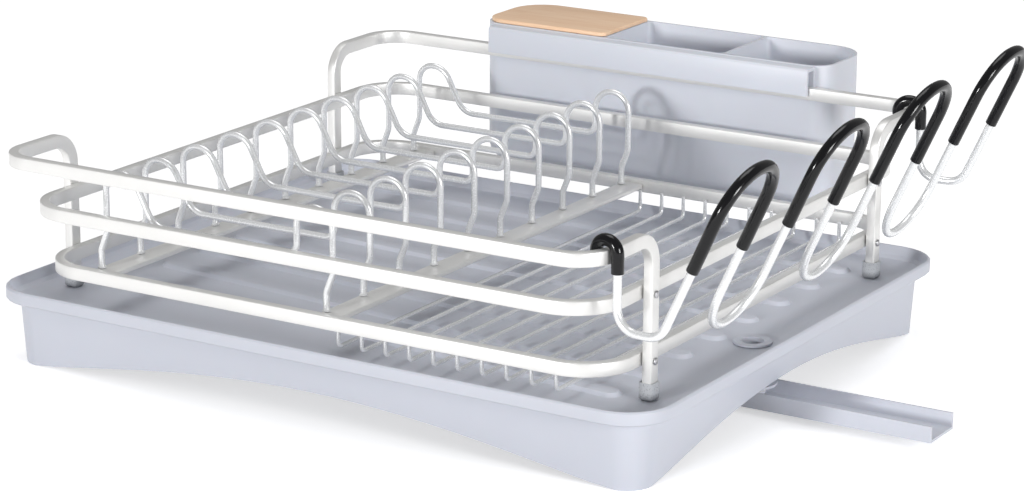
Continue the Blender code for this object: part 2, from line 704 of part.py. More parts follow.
def build_cap(name, parent, place, material):
    """A foot cap: a rounded square cup around the end of a post."""
    bm = bmesh.new()
    eased = CAP_SIZE - 2 * CAP_EDGE
    bore = BAR_SIZE + 2 * GAP
    bore_radius = BAR_EDGE
    rings = [
        rounded_rectangle(eased, eased, CAP_EDGE, 0, 2),
        rounded_rectangle(CAP_SIZE, CAP_SIZE, 2 * CAP_EDGE, CAP_EDGE, 2),
        rounded_rectangle(CAP_SIZE, CAP_SIZE, 2 * CAP_EDGE, CAP_HEIGHT, 2),
        rounded_rectangle(bore, bore, bore_radius, CAP_HEIGHT, 2),
        rounded_rectangle(bore, bore, bore_radius, CAP_BASE, 2),
    ]
    loft(bm, rings)
    return finish_mesh(bm, name, parent, place, material)


def build_strip(name, parent, place_x, material):
    """A flat cross bar between the lower ring's long sides."""
    bm = bmesh.new()
    half = Vector((STRIP_WIDTH / 2, STRIP_LENGTH / 2, STRIP_THICKNESS / 2))
    add_box(bm, -half, half)
    place = (place_x, 0, STRIP_TOP - STRIP_THICKNESS / 2)
    strip = finish_mesh(bm, name, parent, place, material)
    bevel = strip.modifiers.new("eased_edges", "BEVEL")
    bevel.width = STRIP_EDGE
    bevel.segments = 1
    bevel.limit_method = "ANGLE"
    return strip


def plate_wire_points():
    """The plate wire's path in its own plane: two loops joined by a low seat for the plate."""
    foot = PLATE_FOOT_HEIGHT
    knee = foot + PLATE_FOOT_RISE
    hip = knee + PLATE_KINK_RISE
    seat = foot + PLATE_BASE_RISE
    crown = foot + PLATE_TOP_RISE
    left_foot = LEFT_STRIP_PLACE - PLATE_FOOT_INSET
    left_leg = left_foot + PLATE_KINK_STEP
    crown_end = left_leg + PLATE_LEFT_CROWN
    slope_end = crown_end + PLATE_LEFT_SLOPE
    right_foot = RIGHT_STRIP_PLACE - PLATE_FOOT_INSET
    right_leg = right_foot + PLATE_KINK_STEP
    inner_leg = right_leg - PLATE_RIGHT_SPAN
    stations = (
        (left_foot, foot, 0, 0),
        (left_foot, knee, PLATE_KINK_RADIUS, 1),
        (left_leg, hip, PLATE_KINK_RADIUS, 1),
        (left_leg, crown, PLATE_SHOULDER_RADIUS, 4),
        (crown_end, crown, PLATE_SLOPE_RADIUS, 3),
        (slope_end, seat, PLATE_SLOPE_RADIUS, 3),
        (inner_leg, seat, PLATE_BASE_RADIUS, 3),
        (inner_leg, crown, PLATE_CROWN_RADIUS, 4),
        (right_leg, crown, PLATE_CROWN_RADIUS, 4),
        (right_leg, hip, PLATE_KINK_RADIUS, 1),
        (right_foot, knee, PLATE_KINK_RADIUS, 1),
        (right_foot, foot, 0, 0),
    )
    return rounded_path([(Vector((x, 0, z)), radius, steps) for x, z, radius, steps in stations])


def grid_wire_points():
    """The grid wire's path in its own plane: a low run with a leg up each side of the ring."""
    reach = LOWER_RING_WIDTH / 2 - BAR_SIZE - GAP - GRID_WIRE_DIAMETER / 2
    top = STRIP_TOP - STRIP_THICKNESS - GRID_LEG_TOP_DROP
    stations = (
        (-reach, top, 0, 0),
        (-reach, GRID_HEIGHT, GRID_CORNER_RADIUS, 2),
        (reach, GRID_HEIGHT, GRID_CORNER_RADIUS, 2),
        (reach, top, 0, 0),
    )
    return rounded_path([(Vector((0, y, z)), radius, steps) for y, z, radius, steps in stations])


def finger_point(lateral, share):
    """A point of the cup holder's leaning plane: share 0 at the valleys, 1 at the tips."""
    reach = FINGER_BOTTOM_REACH + (FINGER_TOP_REACH - FINGER_BOTTOM_REACH) * share
    height = FINGER_BOTTOM + (FINGER_TOP - FINGER_BOTTOM) * share
    return Vector((HOOP_LENGTH / 2 + reach, lateral, height))


def hook_stations(side):
    """The hook over the hoop's corner and the leg below it, from the tip to the return bend."""
    corner = Vector((HOOP_LENGTH / 2, side * RAIL_OUTER, 0))
    corner -= Vector((HOOP_CORNER_RADIUS, side * HOOP_CORNER_RADIUS, 0))
    outward = Vector((math.cos(HOOK_ANGLE), side * math.sin(HOOK_ANGLE), 0))
    leg_reach = HOOP_CORNER_RADIUS - BAR_SIZE / 2 + HOOK_RADIUS
    leg = corner + outward * leg_reach
    tip = leg - outward * 2 * HOOK_RADIUS
    level = Vector((0, 0, HOOP_HEIGHT - HOOK_TIP_DROP))
    crown = Vector((0, 0, HOOP_HEIGHT + HOOK_RADIUS - HOOK_SEAT))
    return [
        (tip + level, 0, 0),
        (tip + crown, HOOK_RADIUS - GAP, 4),
        (leg + crown, HOOK_RADIUS - GAP, 4),
        (leg + Vector((0, 0, RETURN_HEIGHT)), RETURN_RADIUS, 4),
    ]


def cup_holder_stations():
    """The whole cup holder wire from the front hook to the back hook."""
    half = FINGER_WIDTH / 2
    return_share = (RETURN_HEIGHT - FINGER_BOTTOM) / (FINGER_TOP - FINGER_BOTTOM)
    first = -(FINGER_COUNT - 1) / 2 * FINGER_PITCH
    stations = hook_stations(-1)
    stations.append((finger_point(first - half, return_share), RETURN_RADIUS, 3))
    for index in range(FINGER_COUNT):
        centre = first + index * FINGER_PITCH
        if index:
            stations.append((finger_point(centre - half, 0), FINGER_RADIUS, 5))
        stations.append((finger_point(centre - half, 1), FINGER_RADIUS, 5))
        stations.append((finger_point(centre + half, 1), FINGER_RADIUS, 5))
        if index < FINGER_COUNT - 1:
            stations.append((finger_point(centre + half, 0), FINGER_RADIUS, 5))
    stations.append((finger_point(-first + half, return_share), RETURN_RADIUS, 3))
    stations.extend(reversed(hook_stations(1)))
    return stations


def build_sleeve(name, parent, points, material):
    """A thin soft sleeve over a stretch of the cup holder wire."""
    bore = CUP_WIRE_DIAMETER / 2 + GAP
    sleeve = wire_curve(name, points, bore, capped=False)
    place_object(sleeve, parent, (0, 0, 0), material)
    wall = sleeve.modifiers.new("sleeve_wall", "SOLIDIFY")
    wall.thickness = SLEEVE_WALL
    wall.offset = 1
    wall.use_even_offset = False
    return sleeve


def build_finger_sleeve(index, parent, material):
    """The sleeve round one finger's tip, ended part way down both legs."""
    first = -(FINGER_COUNT - 1) / 2 * FINGER_PITCH
    centre = first + index * FINGER_PITCH
    half = FINGER_WIDTH / 2
    whole = (finger_point(centre, 1) - finger_point(centre, 0)).length
    end_share = 1 - FINGER_SLEEVE_LENGTH / whole
    stations = [
        (finger_point(centre - half, end_share), 0, 0),
        (finger_point(centre - half, 1), FINGER_RADIUS, 5),
        (finger_point(centre + half, 1), FINGER_RADIUS, 5),
        (finger_point(centre + half, end_share), 0, 0),
    ]
    return build_sleeve(f"finger_sleeve_{index + 1}", parent, rounded_path(stations), material)


def build_hook_sleeve(name, parent, side, material):
    """The sleeve over one hook, from its tip down the outer leg."""
    stations = hook_stations(side)[:-1]
    end = stations[-1][0].copy()
    end.z = HOOP_HEIGHT - HOOK_SLEEVE_DROP
    stations.append((end, 0, 0))
    return build_sleeve(name, parent, rounded_path(stations), material)


def holder_plan(inset, height):
    """The holder's outer plan drawn in by an inset, with its back corners rounder than its front."""
    low = Vector((-HOLDER_LENGTH / 2 + inset, HOLDER_FRONT + inset))
    high = Vector((HOLDER_LENGTH / 2 - inset, HOLDER_BACK - inset))
    front = max(HOLDER_FRONT_RADIUS - inset, HOLDER_FRONT_RADIUS / 4)
    back = HOLDER_BACK_RADIUS - inset
    return cornered_plan(low, high, (back, back, front, front), height)


def build_holder(parent, material):
    """The utensil holder: a deep box with three hollows and a lip that hooks over the rail."""
    fall = HOLDER_BOTTOM_RADIUS
    steps = 3
    rings = []
    for step in range(steps + 1):
        angle = math.pi / 2 * step / steps
        inset = fall * (1 - math.sin(angle))
        rings.append(holder_plan(inset, HOLDER_BOTTOM + fall * (1 - math.cos(angle))))
    rings.append(holder_plan(0, HOLDER_TOP))
    bm = bmesh.new()
    loft(bm, rings)
    holder = finish_mesh(bm, "utensil_holder", parent, (0, 0, 0), material)
    combine(holder, build_lip(parent), "UNION")
    combine(holder, build_hollows(parent), "DIFFERENCE")
    combine(holder, build_rail_channel(parent), "DIFFERENCE")
    return holder


def build_lip(parent):
    """The block of the lip, rounded along its top front edge, before the rail is cut out."""
    left = -HOLDER_LENGTH / 2 + LIP_LEFT_MARGIN
    right = HOLDER_LENGTH / 2 - LIP_RIGHT_MARGIN
    back = HOLDER_FRONT + HOLDER_WALL / 2
    steps = 3
    profile = [(back, LIP_TOP), (back, LIP_BOTTOM), (LIP_OUTER, LIP_BOTTOM)]
    for step in range(steps + 1):
        angle = math.pi / 2 * step / steps
        y = LIP_OUTER + LIP_EDGE * (1 - math.cos(angle))
        z = LIP_TOP - LIP_EDGE * (1 - math.sin(angle))
        profile.append((y, z))
    bm = bmesh.new()
    loft(bm, [[Vector((x, y, z)) for y, z in profile] for x in (left, right)])
    return finish_mesh(bm, "holder_lip", parent, (0, 0, 0))


def build_rail_channel(parent):
    """The space behind the lip: the rail's own groove, and pockets between the ribs above it."""
    left = -HOLDER_LENGTH / 2 + LIP_LEFT_MARGIN
    right = HOLDER_LENGTH / 2 - LIP_RIGHT_MARGIN
    front = LIP_OUTER + HOLDER_WALL
    back = RAIL_OUTER + GAP
    rest = HOOP_HEIGHT + GAP
    ceiling = LIP_TOP - HOLDER_WALL
    pitch = (right - left) / (LIP_RIB_COUNT + 1)
    edges = [left - CUT_OVERRUN]
    for index in range(LIP_RIB_COUNT):
        middle = left + pitch * (index + 1)
        edges.extend((middle - LIP_RIB_WIDTH / 2, middle + LIP_RIB_WIDTH / 2))
    edges.append(right + CUT_OVERRUN)
    floor = LIP_BOTTOM - CUT_OVERRUN
    profile = [(edges[0], floor)]
    for low_x, high_x in zip(edges[0::2], edges[1::2]):
        profile.extend(((low_x, ceiling), (high_x, ceiling)))
        if high_x != edges[-1]:
            profile.extend(((high_x, rest), (high_x + LIP_RIB_WIDTH, rest)))
    profile.append((edges[-1], floor))
    bm = bmesh.new()
    loft(bm, [[Vector((x, y, z)) for x, z in profile] for y in (front, back)])
    return finish_mesh(bm, "rail_channel", parent, (0, 0, 0))


def compartment_edges():
    """Left and right inner faces of the three compartments, from the holder's left wall."""
    left = -HOLDER_LENGTH / 2
    half = HOLDER_WALL / 2
    first = left + LEFT_DIVIDER_PLACE
    second = left + RIGHT_DIVIDER_PLACE
    right = HOLDER_LENGTH / 2
    return (
        (left + HOLDER_WALL, first - half),
        (first + half, second - half),
        (second + half, right - HOLDER_WALL),
    )


def compartment_plan(index, inset, height):
    """One compartment's plan drawn in by an inset: round at the ends, tight at the dividers."""
    left, right = compartment_edges()[index]
    low = Vector((left + inset, HOLDER_FRONT + HOLDER_WALL + inset))
    high = Vector((right - inset, HOLDER_BACK - HOLDER_WALL - inset))
    front = HOLDER_FRONT_RADIUS - HOLDER_WALL
    back = HOLDER_BACK_RADIUS - HOLDER_WALL
    tight = DIVIDER_RADIUS
    first = index == 0
    last = index == len(compartment_edges()) - 1
    radii = (
        back if last else tight,
        back if first else tight,
        front if first else tight,
        front if last else tight,
    )
    radii = [max(radius - inset, tight / 2) for radius in radii]
    return cornered_plan(low, high, radii, height)


def build_hollows(parent):
    """The three compartments as one tool, with eased floors."""
    floor = HOLDER_BOTTOM + HOLDER_FLOOR
    fall = HOLDER_BOTTOM_RADIUS - HOLDER_WALL
    bm = bmesh.new()
    for index in range(len(compartment_edges())):
        loft(bm, [
            compartment_plan(index, fall, floor),
            compartment_plan(index, 0, floor + fall),
            compartment_plan(index, 0, HOLDER_TOP + CUT_OVERRUN),
        ])
    return finish_mesh(bm, "holder_hollows", parent, (0, 0, 0))


def lid_plan(inset, height):
    """The lid's plan drawn in by an inset: it follows the holder's end and meets the divider."""
    left = -HOLDER_LENGTH / 2 + LID_INSET + inset
    right = -HOLDER_LENGTH / 2 + LEFT_DIVIDER_PLACE + HOLDER_WALL / 2 - inset
    low = Vector((left, HOLDER_FRONT + LID_INSET + inset))
    high = Vector((right, HOLDER_BACK - LID_INSET - inset))
    front = HOLDER_FRONT_RADIUS - LID_INSET - inset
    back = HOLDER_BACK_RADIUS - LID_INSET - inset
    tight = DIVIDER_RADIUS - inset
    return cornered_plan(low, high, (tight, back, front, tight), height)


def build_lid(parent, material):
    """The lid over the left compartment: a plate on the rim with a plug into the hollow."""
    rim = HOLDER_TOP + GAP
    top = rim + LID_THICKNESS
    bm = bmesh.new()
    loft(bm, [lid_plan(0, rim), lid_plan(0, top - LID_EDGE), lid_plan(LID_EDGE, top)])
    lid = finish_mesh(bm, "bamboo_lid", parent, (0, 0, 0), material)
    heights = (rim - LID_PLUG_DEPTH, rim + LID_THICKNESS / 2)
    bm = bmesh.new()
    loft(bm, [compartment_plan(0, LID_CLEARANCE, height) for height in heights])
    combine(lid, finish_mesh(bm, "lid_plug", parent, (0, 0, 0)), "UNION")
    return lid


def build_all():
    """Builds every part under its group's empty."""
    clear_scene()
    plastic = make_material("tray_plastic", (0.61, 0.64, 0.72), 0.45)
    holder_plastic = make_material("holder_plastic", (0.61, 0.64, 0.72), 0.45)
    aluminium = make_material("satin_aluminium", (0.82, 0.82, 0.83), 0.32, metallic=1.0)
    wire_metal = make_material("coated_wire", (0.83, 0.83, 0.84), 0.30, metallic=0.8)
    black = make_material("black_sleeve", (0.012, 0.012, 0.014), 0.28)
    bamboo = make_material("bamboo", (0.66, 0.45, 0.28), 0.50)
    clear_cap = make_material("cap_plastic", (0.50, 0.52, 0.55), 0.35)
    rivet_metal = make_material("rivet_steel", (0.55, 0.55, 0.57), 0.30, metallic=1.0)

    middle = Vector(((WHOLE_LEFT + WHOLE_RIGHT) / 2, (WHOLE_FRONT + WHOLE_BACK) / 2, 0))
    whole = make_empty("drainer", -middle)
    build_tray(whole, plastic)
    drain = make_empty("drain", DRAIN_PLACE, whole)
    build_nozzle(drain, plastic)
    build_clip(drain, wire_metal)
    spout_pivot = make_empty("spout_pivot", (0, 0, 0), drain)
    build_spout(spout_pivot, plastic)

    rack = make_empty("rack", (0, 0, RACK_BASE), whole)
    build_hoop("front_hoop", rack, -1, aluminium)
    build_hoop("back_hoop", rack, 1, aluminium)
    build_ring("middle_ring", rack, MIDDLE_RING_WIDTH, MIDDLE_RING_MIDDLE, aluminium)
    build_ring("lower_ring", rack, LOWER_RING_WIDTH, LOWER_RING_MIDDLE, aluminium)
    build_strip("left_cross_bar", rack, LEFT_STRIP_PLACE, aluminium)
    build_strip("right_cross_bar", rack, RIGHT_STRIP_PLACE, aluminium)
    corners = [("left", -1), ("right", 1)]
    for row_name, row in (("front", -1), ("back", 1)):
        for side_name, side in corners:
            place = (side * (HOOP_LENGTH / 2 - BAR_SIZE / 2), row * POST_PLACE, 0)
            build_cap(f"{row_name}_{side_name}_foot_cap", rack, place, clear_cap)
            for level_name, level in (("lower", LOWER_RING_MIDDLE), ("middle", MIDDLE_RING_MIDDLE)):
                name = f"{row_name}_{side_name}_{level_name}_rivet"
                build_rivet(name, rack, side, row, level, rivet_metal)

    plate_points = plate_wire_points()
    for index in range(PLATE_WIRE_COUNT):
        wire = wire_curve(f"plate_wire_{index + 1:02d}", plate_points, PLATE_WIRE_DIAMETER / 2)
        lateral = (index - (PLATE_WIRE_COUNT - 1) / 2) * PLATE_WIRE_PITCH
        place_object(wire, rack, (0, lateral, 0), wire_metal)

    grid_points = grid_wire_points()
    first = RIGHT_STRIP_PLACE + GRID_FIRST_OFFSET
    last = RING_LENGTH / 2 - BAR_SIZE - GRID_LAST_MARGIN
    for index in range(GRID_WIRE_COUNT):
        wire = wire_curve(f"grid_wire_{index + 1:02d}", grid_points, GRID_WIRE_DIAMETER / 2)
        place_x = first + (last - first) * index / (GRID_WIRE_COUNT - 1)
        place_object(wire, rack, (place_x, 0, 0), wire_metal)

    cup_holder = make_empty("cup_holder", (0, 0, 0), rack)
    cup_points = rounded_path(cup_holder_stations())
    cup_wire = wire_curve("cup_holder_wire", cup_points, CUP_WIRE_DIAMETER / 2)
    place_object(cup_wire, cup_holder, (0, 0, 0), wire_metal)
    for index in range(FINGER_COUNT):
        build_finger_sleeve(index, cup_holder, black)
    build_hook_sleeve("front_hook_sleeve", cup_holder, -1, black)
    build_hook_sleeve("back_hook_sleeve", cup_holder, 1, black)

    utensils = make_empty("utensil_place", (HOLDER_SIDE_OFFSET, 0, 0), rack)
    build_holder(utensils, holder_plastic)
    build_lid(utensils, bamboo)


build_all()
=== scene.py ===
"""Dressed scene of a dish drainer: bar rack, plate loops, cup and utensil holders, drip tray.

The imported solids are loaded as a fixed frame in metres, with +Z up and +X towards the spout.
Bars, wires and sleeves are made again here with round bends, and the moulded pieces are refined
copies of their solids. Every piece then gets a procedural finish.
"""

import logging
import math
from dataclasses import dataclass
from enum import Enum

import bmesh
import bpy
from mathutils import Matrix, Vector


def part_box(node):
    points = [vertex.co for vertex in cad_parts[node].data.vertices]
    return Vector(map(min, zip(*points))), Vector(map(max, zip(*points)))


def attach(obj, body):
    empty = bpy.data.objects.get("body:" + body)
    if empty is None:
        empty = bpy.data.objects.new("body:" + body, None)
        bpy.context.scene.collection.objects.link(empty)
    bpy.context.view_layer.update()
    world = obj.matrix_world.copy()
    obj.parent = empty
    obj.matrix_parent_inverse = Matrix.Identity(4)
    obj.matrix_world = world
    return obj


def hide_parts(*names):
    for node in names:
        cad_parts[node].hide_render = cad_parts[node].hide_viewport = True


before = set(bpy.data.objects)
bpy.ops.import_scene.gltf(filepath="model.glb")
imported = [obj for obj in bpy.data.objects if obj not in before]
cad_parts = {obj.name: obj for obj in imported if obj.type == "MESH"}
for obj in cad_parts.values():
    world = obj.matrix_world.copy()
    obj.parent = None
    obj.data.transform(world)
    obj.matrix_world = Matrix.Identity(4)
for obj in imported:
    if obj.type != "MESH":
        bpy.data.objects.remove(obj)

LOG = logging.getLogger("dish_drainer")
Colour = tuple[float, float, float]


class Slot(Enum):
    """The record's material slots."""

    TRAY = "tray_plastic"
    HOLDER = "holder_plastic"
    BAR = "satin_aluminium"
    WIRE = "coated_wire"
    SLEEVE = "black_sleeve"
    BAMBOO = "bamboo"
    CAP = "cap_plastic"
    RIVET = "rivet_steel"


class Body(Enum):
    """The bodies that pieces ride on."""

    TRAY = "tray"
    SPOUT = "spout"
    RACK = "rack"
    CUPS = "cup_holder"
    UTENSILS = "utensil_box"
    LID = "lid"


# Shared shader parts


class Sketch:
    """Adds and joins the nodes of one shader tree."""

    def __init__(self, tree: bpy.types.NodeTree) -> None:
        """Keeps the tree to draw in.

        Args:
            tree: the node tree of a material, a world or a group.
        """
        self.tree = tree

    @classmethod
    def material(cls, name: str) -> tuple[bpy.types.Material, "Sketch", bpy.types.Node]:
        """Starts a material.

        Args:
            name: the material's name.

        Returns:
            The material, its sketch and its main shader.
        """
        material = bpy.data.materials.new(name)
        material.use_nodes = True
        return material, cls(material.node_tree), material.node_tree.nodes["Principled BSDF"]

    def add(self, kind: str, values: dict | None = None, **settings: object) -> bpy.types.Node:
        """Adds one node.

        Args:
            kind: the node's type name without its ShaderNode prefix.
            values: socket values by socket name or index.
            settings: properties of the node itself.

        Returns:
            The new node.
        """
        node = self.tree.nodes.new("ShaderNode" + kind)
        for name, value in settings.items():
            setattr(node, name, value)
        for name, value in (values or {}).items():
            node.inputs[name].default_value = value
        return node

    def join(self, output: bpy.types.NodeSocket, target: bpy.types.NodeSocket) -> None:
        """Joins two sockets.

        Args:
            output: the socket that gives the value.
            target: the socket that takes it.
        """
        self.tree.links.new(output, target)

    def blend(self, mask: bpy.types.NodeSocket, low: Colour, high: Colour) -> bpy.types.NodeSocket:
        """Blends two colours by a mask.

        Args:
            mask: the socket that gives the share of the second colour.
            low: the colour where the mask is 0.
            high: the colour where the mask is 1.

        Returns:
            The socket of the blended colour.
        """
        mix = self.add("Mix", data_type="RGBA")
        self.join(mask, mix.inputs[0])
        mix.inputs[6].default_value = (*low, 1.0)
        mix.inputs[7].default_value = (*high, 1.0)
        return mix.outputs[2]

    def spread(self, mask: bpy.types.NodeSocket, low: float, high: float) -> bpy.types.NodeSocket:
        """Stretches a mask to a range of numbers.

        Args:
            mask: the socket with values from 0 to 1.
            low: the number where the mask is 0.
            high: the number where the mask is 1.

        Returns:
            The socket of the stretched value.
        """
        stretch = self.add("MapRange", {"To Min": low, "To Max": high})
        self.join(mask, stretch.inputs["Value"])
        return stretch.outputs["Result"]


class GroupBook:
    """The shader groups that several finishes share, each built once."""

    pore_share = 0.35
    mask_spread = (-0.6, 1.6)
    drift_limits = (0.3, 0.7)

    def __init__(self) -> None:
        """Builds the groups."""
        self.grain = self._build_grain()
        self.drift = self._build_drift()

    @staticmethod
    def _start(name: str, numbers: dict[str, float], outputs: tuple[str, ...]) -> tuple:
        """Starts a group with a place input, number inputs and value outputs.

        Args:
            name: the group's name.
            numbers: the number inputs with their defaults.
            outputs: the names of the value outputs.

        Returns:
            The group, its sketch, its input node and its output node.
        """
        group = bpy.data.node_groups.new(name, "ShaderNodeTree")
        group.interface.new_socket(name="Place", in_out="INPUT", socket_type="NodeSocketVector")
        for label, value in numbers.items():
            socket = group.interface.new_socket(
                name=label, in_out="INPUT", socket_type="NodeSocketFloat"
            )
            socket.default_value = value
        for label in outputs:
            group.interface.new_socket(name=label, in_out="OUTPUT", socket_type="NodeSocketFloat")
        sketch = Sketch(group)
        source = group.nodes.new("NodeGroupInput")
        result = group.nodes.new("NodeGroupOutput")
        return group, sketch, source, result

    def _build_grain(self) -> bpy.types.NodeTree:
        """Builds the fine grain of a moulded, blasted or coated surface.

        Returns:
            The group, which gives a height and a mask.
        """
        group, sketch, source, result = self._start(
            "fine_grain", {"Per Metre": 2000.0}, ("Height", "Mask")
        )
        fine = sketch.add("TexNoise", {"Detail": 3.0, "Roughness": 0.6})
        sketch.join(source.outputs["Place"], fine.inputs["Vector"])
        sketch.join(source.outputs["Per Metre"], fine.inputs["Scale"])
        pores = sketch.add("TexVoronoi", {"Randomness": 1.0})
        sketch.join(source.outputs["Place"], pores.inputs["Vector"])
        sketch.join(source.outputs["Per Metre"], pores.inputs["Scale"])
        both = sketch.add("Math", operation="MULTIPLY_ADD")
        sketch.join(pores.outputs["Distance"], both.inputs[0])
        both.inputs[1].default_value = self.pore_share
        sketch.join(fine.outputs["Fac"], both.inputs[2])
        sketch.join(both.outputs[0], result.inputs["Height"])
        mask = sketch.spread(fine.outputs["Fac"], *self.mask_spread)
        sketch.join(mask, result.inputs["Mask"])
        return group

    def _build_drift(self) -> bpy.types.NodeTree:
        """Builds the slow drift of tone and gloss across a surface.

        Returns:
            The group, which gives a mask and a low waviness.
        """
        group, sketch, source, result = self._start(
            "slow_drift", {"Per Metre": 12.0}, ("Mask", "Wave")
        )
        slow = sketch.add("TexNoise", {"Detail": 4.0, "Roughness": 0.5, "Distortion": 0.3})
        sketch.join(source.outputs["Place"], slow.inputs["Vector"])
        sketch.join(source.outputs["Per Metre"], slow.inputs["Scale"])
        low, high = self.drift_limits
        mask = sketch.add("MapRange", {"From Min": low, "From Max": high})
        sketch.join(slow.outputs["Fac"], mask.inputs["Value"])
        sketch.join(mask.outputs["Result"], result.inputs["Mask"])
        sketch.join(slow.outputs["Fac"], result.inputs["Wave"])
        return group


@dataclass(frozen=True)
class SurfaceFinish:
    """A moulded, metal or soft surface with grain, drifting tone and drifting gloss."""

    slot: Slot
    colour: Colour
    roughness: tuple[float, float]
    metallic: float = 0.0
    tone_drop: float = 0.03
    grain_per_metre: float = 2000.0
    drift_per_metre: float = 14.0
    grain_depth: float = 0.00002
    grain_strength: float = 0.10
    wave_depth: float = 0.0004
    wave_strength: float = 0.05
    specular: float = 0.5
    subsurface: float = 0.0
    subsurface_depth: float = 0.004

    def make(self, groups: GroupBook) -> bpy.types.Material:
        """Builds the material.

        Args:
            groups: the shared shader groups.

        Returns:
            The finished material.
        """
        material, sketch, shader = Sketch.material(self.slot.value + "_finish")
        place = sketch.add("TexCoord").outputs["Object"]
        grain = sketch.add("Group", node_tree=groups.grain)
        grain.inputs["Per Metre"].default_value = self.grain_per_metre
        drift = sketch.add("Group", node_tree=groups.drift)
        drift.inputs["Per Metre"].default_value = self.drift_per_metre
        sketch.join(place, grain.inputs["Place"])
        sketch.join(place, drift.inputs["Place"])
        low = tuple(channel * (1 - self.tone_drop) for channel in self.colour)
        tone = sketch.blend(drift.outputs["Mask"], low, self.colour)
        sketch.join(tone, shader.inputs["Base Color"])
        gloss = sketch.spread(grain.outputs["Mask"], *self.roughness)
        sketch.join(gloss, shader.inputs["Roughness"])
        wave = sketch.add("Bump", {"Strength": self.wave_strength, "Distance": self.wave_depth})
        sketch.join(drift.outputs["Wave"], wave.inputs["Height"])
        bump = sketch.add("Bump", {"Strength": self.grain_strength, "Distance": self.grain_depth})
        sketch.join(grain.outputs["Height"], bump.inputs["Height"])
        sketch.join(wave.outputs["Normal"], bump.inputs["Normal"])
        sketch.join(bump.outputs["Normal"], shader.inputs["Normal"])
        shader.inputs["Metallic"].default_value = self.metallic
        shader.inputs["Specular IOR Level"].default_value = self.specular
        shader.inputs["Subsurface Weight"].default_value = self.subsurface
        shader.inputs["Subsurface Scale"].default_value = self.subsurface_depth
        return material


@dataclass(frozen=True)
class BambooFinish:
    """Pressed bamboo: pale strips side by side, with long fibres and darker joints."""

    slot: Slot = Slot.BAMBOO
    light: Colour = (1.0, 0.730, 0.510)
    dark: Colour = (0.84, 0.52, 0.31)
    strip_width: float = 0.0068
    joints_per_metre: float = 7.0
    strip_share: float = 0.28
    fibres_per_metre: float = 900.0
    fibre_limits: tuple[float, float] = (0.32, 0.72)
    fibre_share: float = 0.62
    stretch: float = 0.035
    roughness: tuple[float, float] = (0.38, 0.52)
    grain_per_metre: float = 1500.0
    grain_depth: float = 0.00005
    grain_strength: float = 0.18
    coat: float = 0.08
    coat_roughness: float = 0.3

    def make(self, groups: GroupBook) -> bpy.types.Material:
        """Builds the material, with the grain along X.

        Args:
            groups: the shared shader groups.

        Returns:
            The finished material.
        """
        material, sketch, shader = Sketch.material(self.slot.value + "_finish")
        place = sketch.add("TexCoord").outputs["Object"]
        along = sketch.add("Mapping", {"Scale": (self.stretch, 1.0, 1.0)})
        sketch.join(place, along.inputs["Vector"])
        fibres = sketch.add(
            "TexNoise", {"Scale": self.fibres_per_metre, "Detail": 4.0, "Roughness": 0.65}
        )
        sketch.join(along.outputs["Vector"], fibres.inputs["Vector"])
        strips = (self.joints_per_metre, 1 / self.strip_width, 1.0)
        cells = sketch.add("Mapping", {"Scale": strips})
        sketch.join(place, cells.inputs["Vector"])
        flat = sketch.add("VectorMath", {1: (1.0, 1.0, 0.0)}, operation="MULTIPLY")
        sketch.join(cells.outputs["Vector"], flat.inputs[0])
        whole = sketch.add("VectorMath", operation="FLOOR")
        sketch.join(flat.outputs["Vector"], whole.inputs[0])
        tone = sketch.add("TexWhiteNoise", noise_dimensions="3D")
        sketch.join(whole.outputs["Vector"], tone.inputs["Vector"])
        mixed = sketch.add("Math", operation="MULTIPLY_ADD")
        sketch.join(tone.outputs["Value"], mixed.inputs[0])
        mixed.inputs[1].default_value = self.strip_share
        low, high = self.fibre_limits
        share = sketch.add(
            "MapRange", {"From Min": low, "From Max": high, "To Max": self.fibre_share}
        )
        sketch.join(fibres.outputs["Fac"], share.inputs["Value"])
        sketch.join(share.outputs["Result"], mixed.inputs[2])
        colour = sketch.blend(mixed.outputs[0], self.light, self.dark)
        sketch.join(colour, shader.inputs["Base Color"])
        gloss = sketch.spread(fibres.outputs["Fac"], *self.roughness)
        sketch.join(gloss, shader.inputs["Roughness"])
        grain = sketch.add("Group", node_tree=groups.grain)
        grain.inputs["Per Metre"].default_value = self.grain_per_metre
        sketch.join(along.outputs["Vector"], grain.inputs["Place"])
        bump = sketch.add("Bump", {"Strength": self.grain_strength, "Distance": self.grain_depth})
        sketch.join(grain.outputs["Height"], bump.inputs["Height"])
        sketch.join(bump.outputs["Normal"], shader.inputs["Normal"])
        shader.inputs["Coat Weight"].default_value = self.coat
        shader.inputs["Coat Roughness"].default_value = self.coat_roughness
        return material


